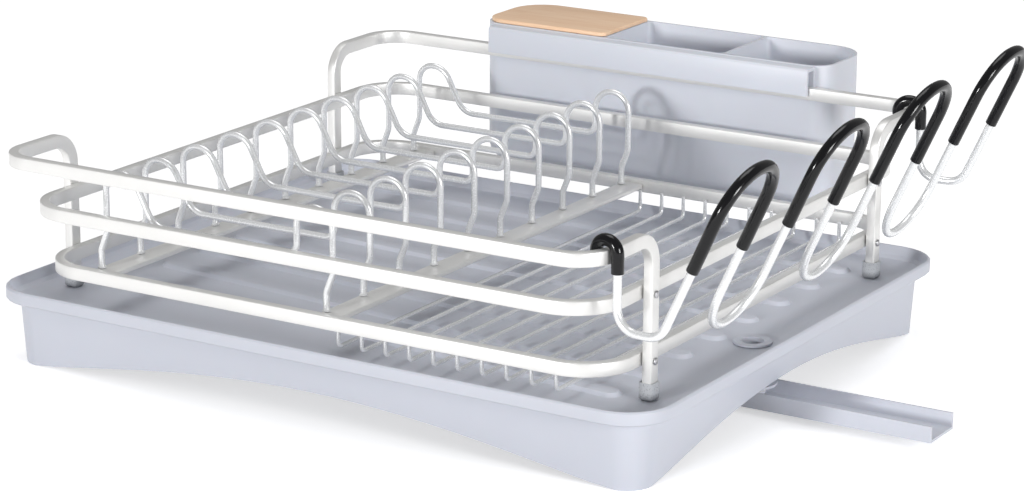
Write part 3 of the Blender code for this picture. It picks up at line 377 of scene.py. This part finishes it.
@dataclass(frozen=True)
class CapFinish:
    """Cloudy soft plastic of the foot caps, darker towards its base."""

    slot: Slot = Slot.CAP
    clear: Colour = (0.66, 0.68, 0.71)
    base: Colour = (0.16, 0.17, 0.19)
    base_height: float = 0.0370
    fade_height: float = 0.0045
    roughness: tuple[float, float] = (0.24, 0.38)
    grain_per_metre: float = 1400.0
    grain_depth: float = 0.00003
    grain_strength: float = 0.12
    clearness: float = 0.35
    bending: float = 1.45

    def make(self, groups: GroupBook) -> bpy.types.Material:
        """Builds the material.

        Args:
            groups: the shared shader groups.

        Returns:
            The finished material.
        """
        material, sketch, shader = Sketch.material(self.slot.value + "_finish")
        place = sketch.add("TexCoord").outputs["Object"]
        split = sketch.add("SeparateXYZ")
        sketch.join(place, split.inputs["Vector"])
        top = self.base_height + self.fade_height
        fade = sketch.add("MapRange", {"From Min": self.base_height, "From Max": top})
        sketch.join(split.outputs["Z"], fade.inputs["Value"])
        colour = sketch.blend(fade.outputs["Result"], self.base, self.clear)
        sketch.join(colour, shader.inputs["Base Color"])
        grain = sketch.add("Group", node_tree=groups.grain)
        grain.inputs["Per Metre"].default_value = self.grain_per_metre
        sketch.join(place, grain.inputs["Place"])
        gloss = sketch.spread(grain.outputs["Mask"], *self.roughness)
        sketch.join(gloss, shader.inputs["Roughness"])
        bump = sketch.add("Bump", {"Strength": self.grain_strength, "Distance": self.grain_depth})
        sketch.join(grain.outputs["Height"], bump.inputs["Height"])
        sketch.join(bump.outputs["Normal"], shader.inputs["Normal"])
        shader.inputs["Transmission Weight"].default_value = self.clearness
        shader.inputs["IOR"].default_value = self.bending
        return material


class FinishBook:
    """Every slot's material, each made once."""

    finishes = (
        SurfaceFinish(
            Slot.TRAY, (0.580, 0.600, 0.668), (0.36, 0.50), grain_per_metre=1700.0,
            grain_strength=0.14, subsurface=0.04,
        ),
        SurfaceFinish(
            Slot.HOLDER, (0.705, 0.730, 0.800), (0.34, 0.48), grain_per_metre=1900.0,
            grain_strength=0.12, subsurface=0.06,
        ),
        SurfaceFinish(
            Slot.BAR, (0.84, 0.835, 0.82), (0.34, 0.46), metallic=0.55, tone_drop=0.05,
            grain_per_metre=2600.0, grain_strength=0.10, wave_strength=0.03,
        ),
        SurfaceFinish(
            Slot.WIRE, (0.86, 0.87, 0.88), (0.20, 0.30), metallic=0.45, tone_drop=0.05,
            grain_per_metre=2200.0, grain_strength=0.08, wave_strength=0.05,
        ),
        SurfaceFinish(
            Slot.SLEEVE, (0.004, 0.004, 0.005), (0.10, 0.18), tone_drop=0.3,
            grain_per_metre=1200.0, drift_per_metre=90.0, grain_strength=0.14,
            wave_strength=0.35, specular=0.35,
        ),
        BambooFinish(),
        CapFinish(),
        SurfaceFinish(
            Slot.RIVET, (0.58, 0.58, 0.60), (0.26, 0.40), metallic=1.0, tone_drop=0.08,
            grain_per_metre=2600.0, grain_strength=0.15,
        ),
    )

    def __init__(self) -> None:
        """Makes the materials."""
        groups = GroupBook()
        self.materials = {finish.slot: finish.make(groups) for finish in self.finishes}

    def dress(
        self, piece: bpy.types.Object, slot: Slot, body: Body, nodes: tuple[str, ...]
    ) -> None:
        """Gives a new piece its finish and its place in the frame.

        Args:
            piece: the object to dress.
            slot: the record's slot of its finish.
            body: the body that it rides on.
            nodes: the solids that it stands for.
        """
        piece.data.materials.clear()
        piece.data.materials.append(self.materials[slot])
        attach(piece, body.value)
        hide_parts(*nodes)
        LOG.info("%s rides on %s", piece.name, body.value)


# Shared modelling parts


@dataclass(frozen=True)
class Station:
    """One corner of a bent wire's route, with its bend radius."""

    point: Vector
    radius: float = 0.0


class Modelling:
    """Turns routes and edited meshes into finished pieces."""

    bend_step = math.radians(7)
    fewest_steps = 3
    weld = 0.00001
    sharp = math.radians(24)

    @classmethod
    def bend(cls, before: Vector, station: Station, after: Vector) -> list[Vector]:
        """Rounds one corner of a route.

        Args:
            before: the corner before it.
            station: the corner and its radius.
            after: the corner after it.

        Returns:
            The points of the round.
        """
        inward = (before - station.point).normalized()
        outward = (after - station.point).normalized()
        half = inward.angle(outward) / 2
        tangent = station.radius / math.tan(half)
        start = station.point + inward * tangent
        end = station.point + outward * tangent
        depth = station.radius / math.sin(half)
        middle = station.point + (inward + outward).normalized() * depth
        first, last = start - middle, end - middle
        turn = first.angle(last)
        steps = max(cls.fewest_steps, math.ceil(turn / cls.bend_step))
        points = []
        for step in range(steps + 1):
            share = step / steps
            near = math.sin((1 - share) * turn) / math.sin(turn)
            far = math.sin(share * turn) / math.sin(turn)
            points.append(middle + first * near + last * far)
        return points

    @classmethod
    def route(cls, stations: list[Station]) -> list[Vector]:
        """Rounds every corner of a route.

        Args:
            stations: the corners from end to end.

        Returns:
            The points of the whole route.
        """
        points = [stations[0].point]
        for before, station, after in zip(stations, stations[1:], stations[2:]):
            points.extend(cls.bend(before.point, station, after.point))
        points.append(stations[-1].point)
        return points

    @classmethod
    def tube(
        cls, points: list[Vector], radius: float, capped: bool, fineness: int = 6
    ) -> bmesh.types.BMesh:
        """Sweeps a round section along a route.

        Args:
            points: the route.
            radius: the section's radius.
            capped: whether the ends are closed.
            fineness: the bevel resolution of the section.

        Returns:
            The swept tube as an edit mesh.
        """
        curve = bpy.data.curves.new("swept_route", "CURVE")
        curve.dimensions = "3D"
        curve.bevel_depth = radius
        curve.bevel_resolution = fineness
        curve.use_fill_caps = capped
        spline = curve.splines.new("POLY")
        spline.points.add(len(points) - 1)
        for place, point in zip(spline.points, points):
            place.co = (*point, 1.0)
        holder = bpy.data.objects.new("swept_route", curve)
        bpy.context.scene.collection.objects.link(holder)
        bpy.context.view_layer.update()
        swept = holder.evaluated_get(bpy.context.evaluated_depsgraph_get())
        mesh = bpy.data.meshes.new_from_object(swept)
        bm = bmesh.new()
        bm.from_mesh(mesh)
        bpy.data.objects.remove(holder, do_unlink=True)
        bpy.data.curves.remove(curve)
        bpy.data.meshes.remove(mesh)
        bmesh.ops.remove_doubles(bm, verts=bm.verts, dist=cls.weld)
        return bm

    @classmethod
    def finish(cls, bm: bmesh.types.BMesh, name: str) -> bpy.types.Object:
        """Turns an edit mesh into an object with smooth rounds and crisp edges.

        Args:
            bm: the edit mesh, which is freed.
            name: the object's name.

        Returns:
            The new object, at the origin.
        """
        bmesh.ops.recalc_face_normals(bm, faces=bm.faces)
        mesh = bpy.data.meshes.new(name)
        bm.to_mesh(mesh)
        bm.free()
        mesh.shade_smooth()
        mesh.set_sharp_from_angle(angle=cls.sharp)
        piece = bpy.data.objects.new(name, mesh)
        bpy.context.scene.collection.objects.link(piece)
        return piece


@dataclass(frozen=True)
class Placement:
    """Where the drainer's groups stand, read from the solids."""

    middle: Vector
    base: float

    @classmethod
    def read(cls) -> "Placement":
        """Reads the tray's middle and the rack's base level.

        Returns:
            The placement.
        """
        low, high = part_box("drip_tray")
        cap_low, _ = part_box("front_left_foot_cap")
        middle = (low + high) / 2
        return cls(Vector((middle.x, middle.y, 0.0)), cap_low.z)

    def rack(self, x: float, y: float, z: float) -> Vector:
        """Turns a place on the rack into a place in the frame.

        Args:
            x: the place along the rack, from its middle.
            y: the place across the rack, from its middle.
            z: the height above the foot caps' undersides.

        Returns:
            The place in the frame.
        """
        return self.middle + Vector((x, y, z + self.base))


@dataclass(frozen=True)
class FlatBar:
    """A flat bar on edge with eased edges, run straight and round bends."""

    thickness: float = 0.0054
    height: float = 0.0074
    edge: float = 0.0007
    edge_segments: int = 3
    bend_steps: int = 14

    def start(
        self, bm: bmesh.types.BMesh, centre: Vector, across: Vector, upward: Vector
    ) -> bmesh.types.BMFace:
        """Draws the bar's section.

        Args:
            bm: the edit mesh.
            centre: the section's middle.
            across: the direction of the bar's thickness.
            upward: the direction of the bar's height.

        Returns:
            The section's face.
        """
        along = across.cross(upward)
        turn = Matrix((across, upward, along)).transposed().to_4x4()
        stretch = Matrix.Diagonal((self.thickness, self.height, 1, 1))
        # A ring of four points, turned by an eighth, is a square with sides of one.
        matrix = Matrix.Translation(centre) @ turn @ stretch @ Matrix.Rotation(math.pi / 4, 4, "Z")
        made = bmesh.ops.create_circle(
            bm, cap_ends=True, segments=4, radius=1 / math.sqrt(2), matrix=matrix
        )
        bmesh.ops.bevel(
            bm, geom=made["verts"], offset=self.edge, segments=self.edge_segments, profile=0.5,
            affect="VERTICES", material=-1,
        )
        bm.faces.ensure_lookup_table()
        return bm.faces[0]

    @staticmethod
    def straight(
        bm: bmesh.types.BMesh, face: bmesh.types.BMFace, travel: Vector
    ) -> bmesh.types.BMFace:
        """Runs the bar straight on.

        Args:
            bm: the edit mesh.
            face: the bar's end face.
            travel: the run.

        Returns:
            The new end face.
        """
        made = bmesh.ops.extrude_face_region(bm, geom=[face, *face.verts, *face.edges])["geom"]
        verts = [item for item in made if isinstance(item, bmesh.types.BMVert)]
        bmesh.ops.translate(bm, verts=verts, vec=travel)
        return next(item for item in made if isinstance(item, bmesh.types.BMFace))

    def bend(
        self, bm: bmesh.types.BMesh, face: bmesh.types.BMFace, centre: Vector, axis: Vector
    ) -> bmesh.types.BMFace:
        """Runs the bar round a quarter bend.

        Args:
            bm: the edit mesh.
            face: the bar's end face.
            centre: the bend's centre.
            axis: the bend's axis.

        Returns:
            The new end face.
        """
        made = bmesh.ops.spin(
            bm, geom=[face, *face.verts, *face.edges], cent=centre, axis=axis, angle=math.pi / 2,
            steps=self.bend_steps, use_merge=False,
        )["geom_last"]
        return next(item for item in made if isinstance(item, bmesh.types.BMFace))


# The drainer's sub-assemblies


@dataclass
class RackBars:
    """The two hoops and the two rings, bent from flat bar."""

    bar: FlatBar = FlatBar()
    hoop_length: float = 0.3710
    post_place: float = 0.1270
    hoop_reach: float = 0.0617
    hoop_height: float = 0.0888
    hoop_corner: float = 0.0215
    hoop_bend: float = 0.0180
    foot: float = 0.0015
    ring_length: float = 0.3584
    ring_corner: float = 0.0285
    # Each ring's name, its outer width and the level of its underside
    rings: tuple[tuple[str, float, float], ...] = (
        ("middle_ring", 0.3530, 0.0522),
        ("lower_ring", 0.3306, 0.0175),
    )

    def build_hoop(self, place: Placement, side: int) -> bmesh.types.BMesh:
        """Bends one hoop from post to post.

        Args:
            place: where the rack stands.
            side: -1 for the front hoop and 1 for the back one.

        Returns:
            The hoop as an edit mesh.
        """
        half = self.bar.thickness / 2
        post_x = self.hoop_length / 2 - half
        bend = self.hoop_bend - self.bar.height / 2
        corner = self.hoop_corner - half
        top = self.hoop_height - self.bar.height / 2
        bend_y = self.post_place + bend
        corner_y = self.post_place + self.hoop_reach - half - corner
        rise = Vector((0, 0, top - bend - self.foot))
        reach = Vector((0, side * (corner_y - bend_y), 0))
        rail = Vector((-2 * (post_x - corner), 0, 0))
        tilt = Vector((-side, 0, 0))
        swing = Vector((0, 0, side))
        bm = bmesh.new()
        start = place.rack(post_x, side * self.post_place, self.foot)
        face = self.bar.start(bm, start, Vector((1, 0, 0)), Vector((0, 1, 0)))
        face = self.bar.straight(bm, face, rise)
        face = self.bar.bend(bm, face, place.rack(post_x, side * bend_y, top - bend), tilt)
        face = self.bar.straight(bm, face, reach)
        face = self.bar.bend(bm, face, place.rack(post_x - corner, side * corner_y, top), swing)
        face = self.bar.straight(bm, face, rail)
        face = self.bar.bend(bm, face, place.rack(corner - post_x, side * corner_y, top), swing)
        face = self.bar.straight(bm, face, -reach)
        face = self.bar.bend(bm, face, place.rack(-post_x, side * bend_y, top - bend), -tilt)
        self.bar.straight(bm, face, -rise)
        return bm

    def build_ring(self, place: Placement, width: float, underside: float) -> bmesh.types.BMesh:
        """Bends one closed ring.

        Args:
            place: where the rack stands.
            width: the ring's outer width.
            underside: the level of the ring's underside on the rack.

        Returns:
            The ring as an edit mesh.
        """
        half = self.bar.thickness / 2
        level = underside + self.bar.height / 2
        run_x = self.ring_length - 2 * self.ring_corner
        run_y = width - 2 * self.ring_corner
        upright = Vector((0, 0, 1))
        bm = bmesh.new()
        start = place.rack(-run_x / 2, half - width / 2, level)
        first = self.bar.start(bm, start, Vector((0, 1, 0)), upright)
        face = self.bar.straight(bm, first, Vector((run_x, 0, 0)))
        corners = (
            (run_x / 2, -run_y / 2, Vector((0, run_y, 0))),
            (run_x / 2, run_y / 2, Vector((-run_x, 0, 0))),
            (-run_x / 2, run_y / 2, Vector((0, -run_y, 0))),
        )
        for x, y, travel in corners:
            face = self.bar.bend(bm, face, place.rack(x, y, level), upright)
            face = self.bar.straight(bm, face, travel)
        face = self.bar.bend(bm, face, place.rack(-run_x / 2, -run_y / 2, level), upright)
        bmesh.ops.delete(bm, geom=[first, face], context="FACES_ONLY")
        bmesh.ops.remove_doubles(bm, verts=bm.verts, dist=Modelling.weld)
        return bm

    def build(self, place: Placement, book: FinishBook) -> None:
        """Builds and dresses the hoops and rings.

        Args:
            place: where the rack stands.
            book: the materials.
        """
        for node, side in (("front_hoop", -1), ("back_hoop", 1)):
            piece = Modelling.finish(self.build_hoop(place, side), node + "_bar")
            book.dress(piece, Slot.BAR, Body.RACK, (node,))
        for node, width, underside in self.rings:
            piece = Modelling.finish(self.build_ring(place, width, underside), node + "_bar")
            book.dress(piece, Slot.BAR, Body.RACK, (node,))


@dataclass
class PlateWires:
    """The ten wires that hold plates, each with two loops and a weld at each foot."""

    count: int = 10
    radius: float = 0.00175
    foot: float = 0.0233
    knee: float = 0.0333
    hip: float = 0.0441
    seat: float = 0.0515
    crown: float = 0.0779
    left_foot: float = -0.1418
    left_leg: float = -0.1375
    crown_end: float = -0.1195
    slope_end: float = -0.1058
    inner_leg: float = -0.0128
    right_leg: float = 0.0098
    right_foot: float = 0.0055
    kink_radius: float = 0.0080
    shoulder_radius: float = 0.0098
    slope_radius: float = 0.0125
    seat_radius: float = 0.0055
    crown_radius: float = 0.0112
    weld_radius: float = 0.0024
    weld_height: float = 0.0011
    weld_segments: int = 20

    def stations(self, place: Placement, y: float) -> list[Station]:
        """Gives one wire's route.

        Args:
            place: where the rack stands.
            y: the wire's place across the rack.

        Returns:
            The route's corners.
        """
        corners = (
            (self.left_foot, self.foot, 0.0),
            (self.left_foot, self.knee, self.kink_radius),
            (self.left_leg, self.hip, self.kink_radius),
            (self.left_leg, self.crown, self.shoulder_radius),
            (self.crown_end, self.crown, self.slope_radius),
            (self.slope_end, self.seat, self.slope_radius),
            (self.inner_leg, self.seat, self.seat_radius),
            (self.inner_leg, self.crown, self.crown_radius),
            (self.right_leg, self.crown, self.crown_radius),
            (self.right_leg, self.hip, self.kink_radius),
            (self.right_foot, self.knee, self.kink_radius),
            (self.right_foot, self.foot, 0.0),
        )
        return [Station(place.rack(x, y, z), radius) for x, z, radius in corners]

    def build(self, place: Placement, book: FinishBook) -> None:
        """Builds and dresses the wires.

        Args:
            place: where the rack stands.
            book: the materials.
        """
        for index in range(self.count):
            node = f"plate_wire_{index + 1:02d}"
            low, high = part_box(node)
            y = (low.y + high.y) / 2 - place.middle.y
            bm = Modelling.tube(Modelling.route(self.stations(place, y)), self.radius, capped=True)
            for x in (self.left_foot, self.right_foot):
                centre = place.rack(x, y, self.foot + self.weld_height / 2)
                bmesh.ops.create_cone(
                    bm, cap_ends=True, segments=self.weld_segments, radius1=self.weld_radius,
                    radius2=self.radius, depth=self.weld_height, matrix=Matrix.Translation(centre),
                )
            book.dress(Modelling.finish(bm, node + "_bent"), Slot.WIRE, Body.RACK, (node,))


@dataclass
class GridWires:
    """The ten low wires of the flat side, turned up at both ends."""

    count: int = 10
    radius: float = 0.0011
    corner_radius: float = 0.0030
    fineness: int = 4

    def build(self, place: Placement, book: FinishBook) -> None:
        """Builds and dresses the wires inside their solids' boxes.

        Args:
            place: where the rack stands; not used.
            book: the materials.
        """
        for index in range(self.count):
            node = f"grid_wire_{index + 1:02d}"
            low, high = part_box(node)
            x = (low.x + high.x) / 2
            run = low.z + self.radius
            front, back = low.y + self.radius, high.y - self.radius
            stations = [
                Station(Vector((x, front, high.z))),
                Station(Vector((x, front, run)), self.corner_radius),
                Station(Vector((x, back, run)), self.corner_radius),
                Station(Vector((x, back, high.z))),
            ]
            bm = Modelling.tube(Modelling.route(stations), self.radius, True, self.fineness)
            book.dress(Modelling.finish(bm, node + "_bent"), Slot.WIRE, Body.RACK, (node,))


@dataclass
class CupHolder:
    """The wire with four leaning fingers, hung by two hooks, with soft sleeves on it."""

    wire_radius: float = 0.00225
    sleeve_gap: float = 0.0003
    sleeve_wall: float = 0.00065
    roll_share: float = 0.4
    roll_segments: int = 3
    roll_angle: float = math.radians(60)
    hoop_half: float = 0.1855
    rail_outer: float = 0.1887
    hoop_height: float = RackBars.hoop_height
    hoop_corner: float = RackBars.hoop_corner
    bar_half: float = 0.0030
    fingers: int = 4
    pitch: float = 0.0990
    width: float = 0.0505
    top: float = 0.1338
    bottom: float = 0.0371
    top_reach: float = 0.0670
    bottom_reach: float = 0.0231
    finger_radius: float = 0.0240
    sleeve_length: float = 0.0532
    hook_angle: float = math.radians(10)
    hook_radius: float = 0.0067
    hook_seat: float = 0.0024
    tip_drop: float = 0.0040
    sleeve_drop: float = 0.0115
    return_height: float = 0.0490
    return_radius: float = 0.0115

    @property
    def first(self) -> float:
        """Gives the first finger's place across the rack.

        Returns:
            The place, from the rack's middle.
        """
        return -(self.fingers - 1) / 2 * self.pitch

    def finger(self, place: Placement, y: float, share: float) -> Vector:
        """Gives a point of the leaning plane.

        Args:
            place: where the rack stands.
            y: the place across the rack.
            share: 0 at the valleys and 1 at the tips.

        Returns:
            The point in the frame.
        """
        reach = self.bottom_reach + (self.top_reach - self.bottom_reach) * share
        height = self.bottom + (self.top - self.bottom) * share
        return place.rack(self.hoop_half + reach, y, height)

    def hook(self, place: Placement, side: int) -> list[Station]:
        """Gives one hook's route from its tip to the return bend.

        Args:
            place: where the rack stands.
            side: -1 for the front hook and 1 for the back one.

        Returns:
            The route's corners.
        """
        outward = Vector((math.cos(self.hook_angle), side * math.sin(self.hook_angle), 0))
        centre_x = self.hoop_half - self.hoop_corner
        centre = place.rack(centre_x, side * (self.rail_outer - self.hoop_corner), 0)
        leg = centre + outward * (self.hoop_corner - self.bar_half + self.hook_radius)
        tip = leg - outward * (2 * self.hook_radius)
        level = Vector((0, 0, self.hoop_height - self.tip_drop))
        crown = Vector((0, 0, self.hoop_height + self.hook_radius - self.hook_seat))
        round_radius = self.hook_radius - self.sleeve_gap
        return [
            Station(tip + level),
            Station(tip + crown, round_radius),
            Station(leg + crown, round_radius),
            Station(leg + Vector((0, 0, self.return_height)), self.return_radius),
        ]

    def whole(self, place: Placement) -> list[Station]:
        """Gives the whole wire's route from hook to hook.

        Args:
            place: where the rack stands.

        Returns:
            The route's corners.
        """
        half = self.width / 2
        share = (self.return_height - self.bottom) / (self.top - self.bottom)
        stations = self.hook(place, -1)
        stations.append(Station(self.finger(place, self.first - half, share), self.return_radius))
        for index in range(self.fingers):
            y = self.first + index * self.pitch
            if index:
                stations.append(Station(self.finger(place, y - half, 0), self.finger_radius))
            stations.append(Station(self.finger(place, y - half, 1), self.finger_radius))
            stations.append(Station(self.finger(place, y + half, 1), self.finger_radius))
            if index < self.fingers - 1:
                stations.append(Station(self.finger(place, y + half, 0), self.finger_radius))
        stations.append(Station(self.finger(place, half - self.first, share), self.return_radius))
        stations.extend(reversed(self.hook(place, 1)))
        return stations

    def sleeve(self, stations: list[Station], name: str) -> bpy.types.Object:
        """Makes one sleeve as a thin tube with rolled ends.

        Args:
            stations: the route that it covers.
            name: the piece's name.

        Returns:
            The sleeve.
        """
        outer = self.wire_radius + self.sleeve_gap + self.sleeve_wall
        bm = Modelling.tube(Modelling.route(stations), outer, capped=False)
        piece = Modelling.finish(bm, name)
        wall = piece.modifiers.new("wall", "SOLIDIFY")
        wall.thickness = self.sleeve_wall
        wall.offset = -1
        roll = piece.modifiers.new("rolled_end", "BEVEL")
        roll.width = self.sleeve_wall * self.roll_share
        roll.segments = self.roll_segments
        roll.limit_method = "ANGLE"
        roll.angle_limit = self.roll_angle
        return piece

    def build(self, place: Placement, book: FinishBook) -> None:
        """Builds and dresses the wire and its sleeves.

        Args:
            place: where the rack stands.
            book: the materials.
        """
        bm = Modelling.tube(Modelling.route(self.whole(place)), self.wire_radius, capped=True)
        wire = Modelling.finish(bm, "cup_holder_bent")
        book.dress(wire, Slot.WIRE, Body.CUPS, ("cup_holder_wire",))
        half = self.width / 2
        length = (self.finger(place, 0, 1) - self.finger(place, 0, 0)).length
        end = 1 - self.sleeve_length / length
        for index in range(self.fingers):
            y = self.first + index * self.pitch
            stations = [
                Station(self.finger(place, y - half, end)),
                Station(self.finger(place, y - half, 1), self.finger_radius),
                Station(self.finger(place, y + half, 1), self.finger_radius),
                Station(self.finger(place, y + half, end)),
            ]
            node = f"finger_sleeve_{index + 1}"
            book.dress(self.sleeve(stations, node + "_soft"), Slot.SLEEVE, Body.CUPS, (node,))
        for node, side in (("front_hook_sleeve", -1), ("back_hook_sleeve", 1)):
            stations = self.hook(place, side)[:-1]
            low = stations[-1].point.copy()
            low.z = place.base + self.hoop_height - self.sleeve_drop
            stations.append(Station(low))
            book.dress(self.sleeve(stations, node + "_soft"), Slot.SLEEVE, Body.CUPS, (node,))


@dataclass(frozen=True)
class Moulding:
    """How one solid's refined copy is made: its slot, its body and how its edges are eased."""

    node: str
    slot: Slot
    body: Body
    ease: float
    segments: int = 3
    sharp: float = math.radians(28)


@dataclass
class Mouldings:
    """The moulded and flat pieces, as refined copies of their solids."""

    weld: float = 0.00002
    flat: float = math.radians(0.4)
    cap_ease: float = 0.0003
    rivet_ease: float = 0.0002
    small_segments: int = 2
    pieces: tuple[Moulding, ...] = (
        Moulding("drip_tray", Slot.TRAY, Body.TRAY, 0.00045),
        Moulding("drain_nozzle", Slot.TRAY, Body.TRAY, 0.00015, 2),
        Moulding("spout_clip", Slot.WIRE, Body.TRAY, 0.00015, 2),
        Moulding("drain_spout", Slot.TRAY, Body.SPOUT, 0.00030),
        Moulding("utensil_holder", Slot.HOLDER, Body.UTENSILS, 0.00045),
        Moulding("bamboo_lid", Slot.BAMBOO, Body.LID, 0.00035),
        Moulding("left_cross_bar", Slot.BAR, Body.RACK, 0.00010, 2),
        Moulding("right_cross_bar", Slot.BAR, Body.RACK, 0.00010, 2),
    )

    def refine(self, moulding: Moulding) -> bpy.types.Object:
        """Merges a copy of a solid, joins its flat faces and eases its sharp edges.

        Args:
            moulding: what to make.

        Returns:
            The refined piece.
        """
        bm = bmesh.new()
        bm.from_mesh(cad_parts[moulding.node].data)
        bmesh.ops.remove_doubles(bm, verts=bm.verts, dist=self.weld)
        bmesh.ops.dissolve_limit(bm, angle_limit=self.flat, verts=bm.verts, edges=bm.edges)
        sharp = [edge for edge in bm.edges if edge.calc_face_angle(0.0) > moulding.sharp]
        bmesh.ops.bevel(
            bm, geom=sharp, offset=moulding.ease, segments=moulding.segments, profile=0.5,
            affect="EDGES", clamp_overlap=True, material=-1,
        )
        return Modelling.finish(bm, moulding.node + "_moulded")

    def build(self, book: FinishBook) -> None:
        """Builds and dresses the moulded pieces, the foot caps and the rivets.

        Args:
            book: the materials.
        """
        small = []
        few = self.small_segments
        for row in ("front", "back"):
            for side in ("left", "right"):
                cap = f"{row}_{side}_foot_cap"
                small.append(Moulding(cap, Slot.CAP, Body.RACK, self.cap_ease, few))
                for level in ("lower", "middle"):
                    rivet = f"{row}_{side}_{level}_rivet"
                    small.append(Moulding(rivet, Slot.RIVET, Body.RACK, self.rivet_ease, few))
        for moulding in (*self.pieces, *small):
            book.dress(self.refine(moulding), moulding.slot, moulding.body, (moulding.node,))


# The studio


@dataclass(frozen=True)
class PhotoCamera:
    """The camera at the photograph's viewing angle."""

    location: Vector = Vector((0.8944, -1.51485, 0.5618))
    target: Vector = Vector((-0.01903, -0.02965, 0.05918))
    roll: float = math.radians(0.33)
    focal_pixels: float = 3283.6
    image_width: int = 1024
    sensor: float = 36.0

    def build(self) -> None:
        """Makes the camera and looks through it."""
        data = bpy.data.cameras.new("photo_camera")
        data.sensor_width = self.sensor
        data.sensor_fit = "HORIZONTAL"
        data.lens = self.focal_pixels / self.image_width * self.sensor
        camera = bpy.data.objects.new("photo_camera", data)
        bpy.context.scene.collection.objects.link(camera)
        forward = (self.target - self.location).normalized()
        right = forward.cross(Vector((0, 0, 1))).normalized()
        upward = right.cross(forward)
        level, lean = math.cos(self.roll), math.sin(self.roll)
        tilted_right = right * level + upward * lean
        tilted_up = upward * level - right * lean
        turn = Matrix((tilted_right, tilted_up, -forward)).transposed().to_4x4()
        camera.matrix_world = Matrix.Translation(self.location) @ turn
        bpy.context.scene.camera = camera


@dataclass(frozen=True)
class SoftBox:
    """One square studio lamp."""

    name: str
    place: Vector
    aim: Vector
    size: float
    power: float

    def build(self) -> None:
        """Makes the lamp and aims it."""
        data = bpy.data.lights.new(self.name, "AREA")
        data.shape = "SQUARE"
        data.size = self.size
        data.energy = self.power
        lamp = bpy.data.objects.new(self.name, data)
        bpy.context.scene.collection.objects.link(lamp)
        lamp.location = self.place
        lamp.rotation_euler = (self.aim - self.place).to_track_quat("-Z", "Y").to_euler()


@dataclass(frozen=True)
class Studio:
    """The white floor, the soft lamps and the plain surroundings."""

    floor_size: float = 12.0
    floor_colour: Colour = (0.90, 0.90, 0.905)
    floor_lift: float = 0.50
    sky_level: float = 0.31
    boxes: tuple[SoftBox, ...] = (
        SoftBox("front_box", Vector((-0.50, -2.80, 0.55)), Vector((0, 0, 0.06)), 0.36, 37.0),
        SoftBox("right_box", Vector((2.60, -0.90, 0.75)), Vector((0, 0, 0.05)), 0.80, 44.0),
        SoftBox("top_box", Vector((-0.4, 0.5, 2.4)), Vector((0, 0, 0)), 1.4, 16.0),
    )

    @staticmethod
    def seen(sketch: Sketch) -> bpy.types.NodeSocket:
        """Gives 1 for rays from the camera, from gloss and through clear pieces.

        Args:
            sketch: the tree to draw in.

        Returns:
            The socket of the mask.
        """
        path = sketch.add("LightPath")
        first = sketch.add("Math", operation="MAXIMUM")
        second = sketch.add("Math", operation="MAXIMUM")
        sketch.join(path.outputs["Is Camera Ray"], first.inputs[0])
        sketch.join(path.outputs["Is Glossy Ray"], first.inputs[1])
        sketch.join(first.outputs[0], second.inputs[0])
        sketch.join(path.outputs["Is Transmission Ray"], second.inputs[1])
        return second.outputs[0]

    def build_floor(self) -> None:
        """Makes the floor, which looks white and keeps the drainer's shadow."""
        bm = bmesh.new()
        bmesh.ops.create_grid(bm, x_segments=1, y_segments=1, size=self.floor_size / 2)
        floor = Modelling.finish(bm, "studio_floor")
        material, sketch, shader = Sketch.material("studio_floor_finish")
        shader.inputs["Base Color"].default_value = (*self.floor_colour, 1.0)
        shader.inputs["Roughness"].default_value = 1.0
        shader.inputs["Specular IOR Level"].default_value = 0.0
        shader.inputs["Emission Color"].default_value = (1.0, 1.0, 1.0, 1.0)
        lift = sketch.add("Math", {1: self.floor_lift}, operation="MULTIPLY")
        sketch.join(self.seen(sketch), lift.inputs[0])
        sketch.join(lift.outputs[0], shader.inputs["Emission Strength"])
        floor.data.materials.append(material)

    def build_sky(self) -> None:
        """Makes the surroundings: white where seen, softer as light."""
        world = bpy.data.worlds.new("studio_sky")
        world.use_nodes = True
        bpy.context.scene.world = world
        sketch = Sketch(world.node_tree)
        background = world.node_tree.nodes["Background"]
        background.inputs["Color"].default_value = (1.0, 1.0, 1.0, 1.0)
        path = sketch.add("LightPath")
        level = sketch.spread(path.outputs["Is Camera Ray"], self.sky_level, 1.0)
        sketch.join(level, background.inputs["Strength"])

    def build(self) -> None:
        """Makes the whole studio."""
        self.build_floor()
        self.build_sky()
        for box in self.boxes:
            box.build()
        bpy.context.scene.view_settings.view_transform = "Standard"


def main() -> None:
    """Builds every sub-assembly in order."""
    logging.basicConfig(level=logging.INFO, format="%(name)s: %(message)s")
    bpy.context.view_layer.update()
    place = Placement.read()
    book = FinishBook()
    RackBars().build(place, book)
    PlateWires().build(place, book)
    GridWires().build(place, book)
    CupHolder().build(place, book)
    Mouldings().build(book)
    PhotoCamera().build()
    Studio().build()
    LOG.info("built the drainer")


if __name__ == "__main__":
    main()
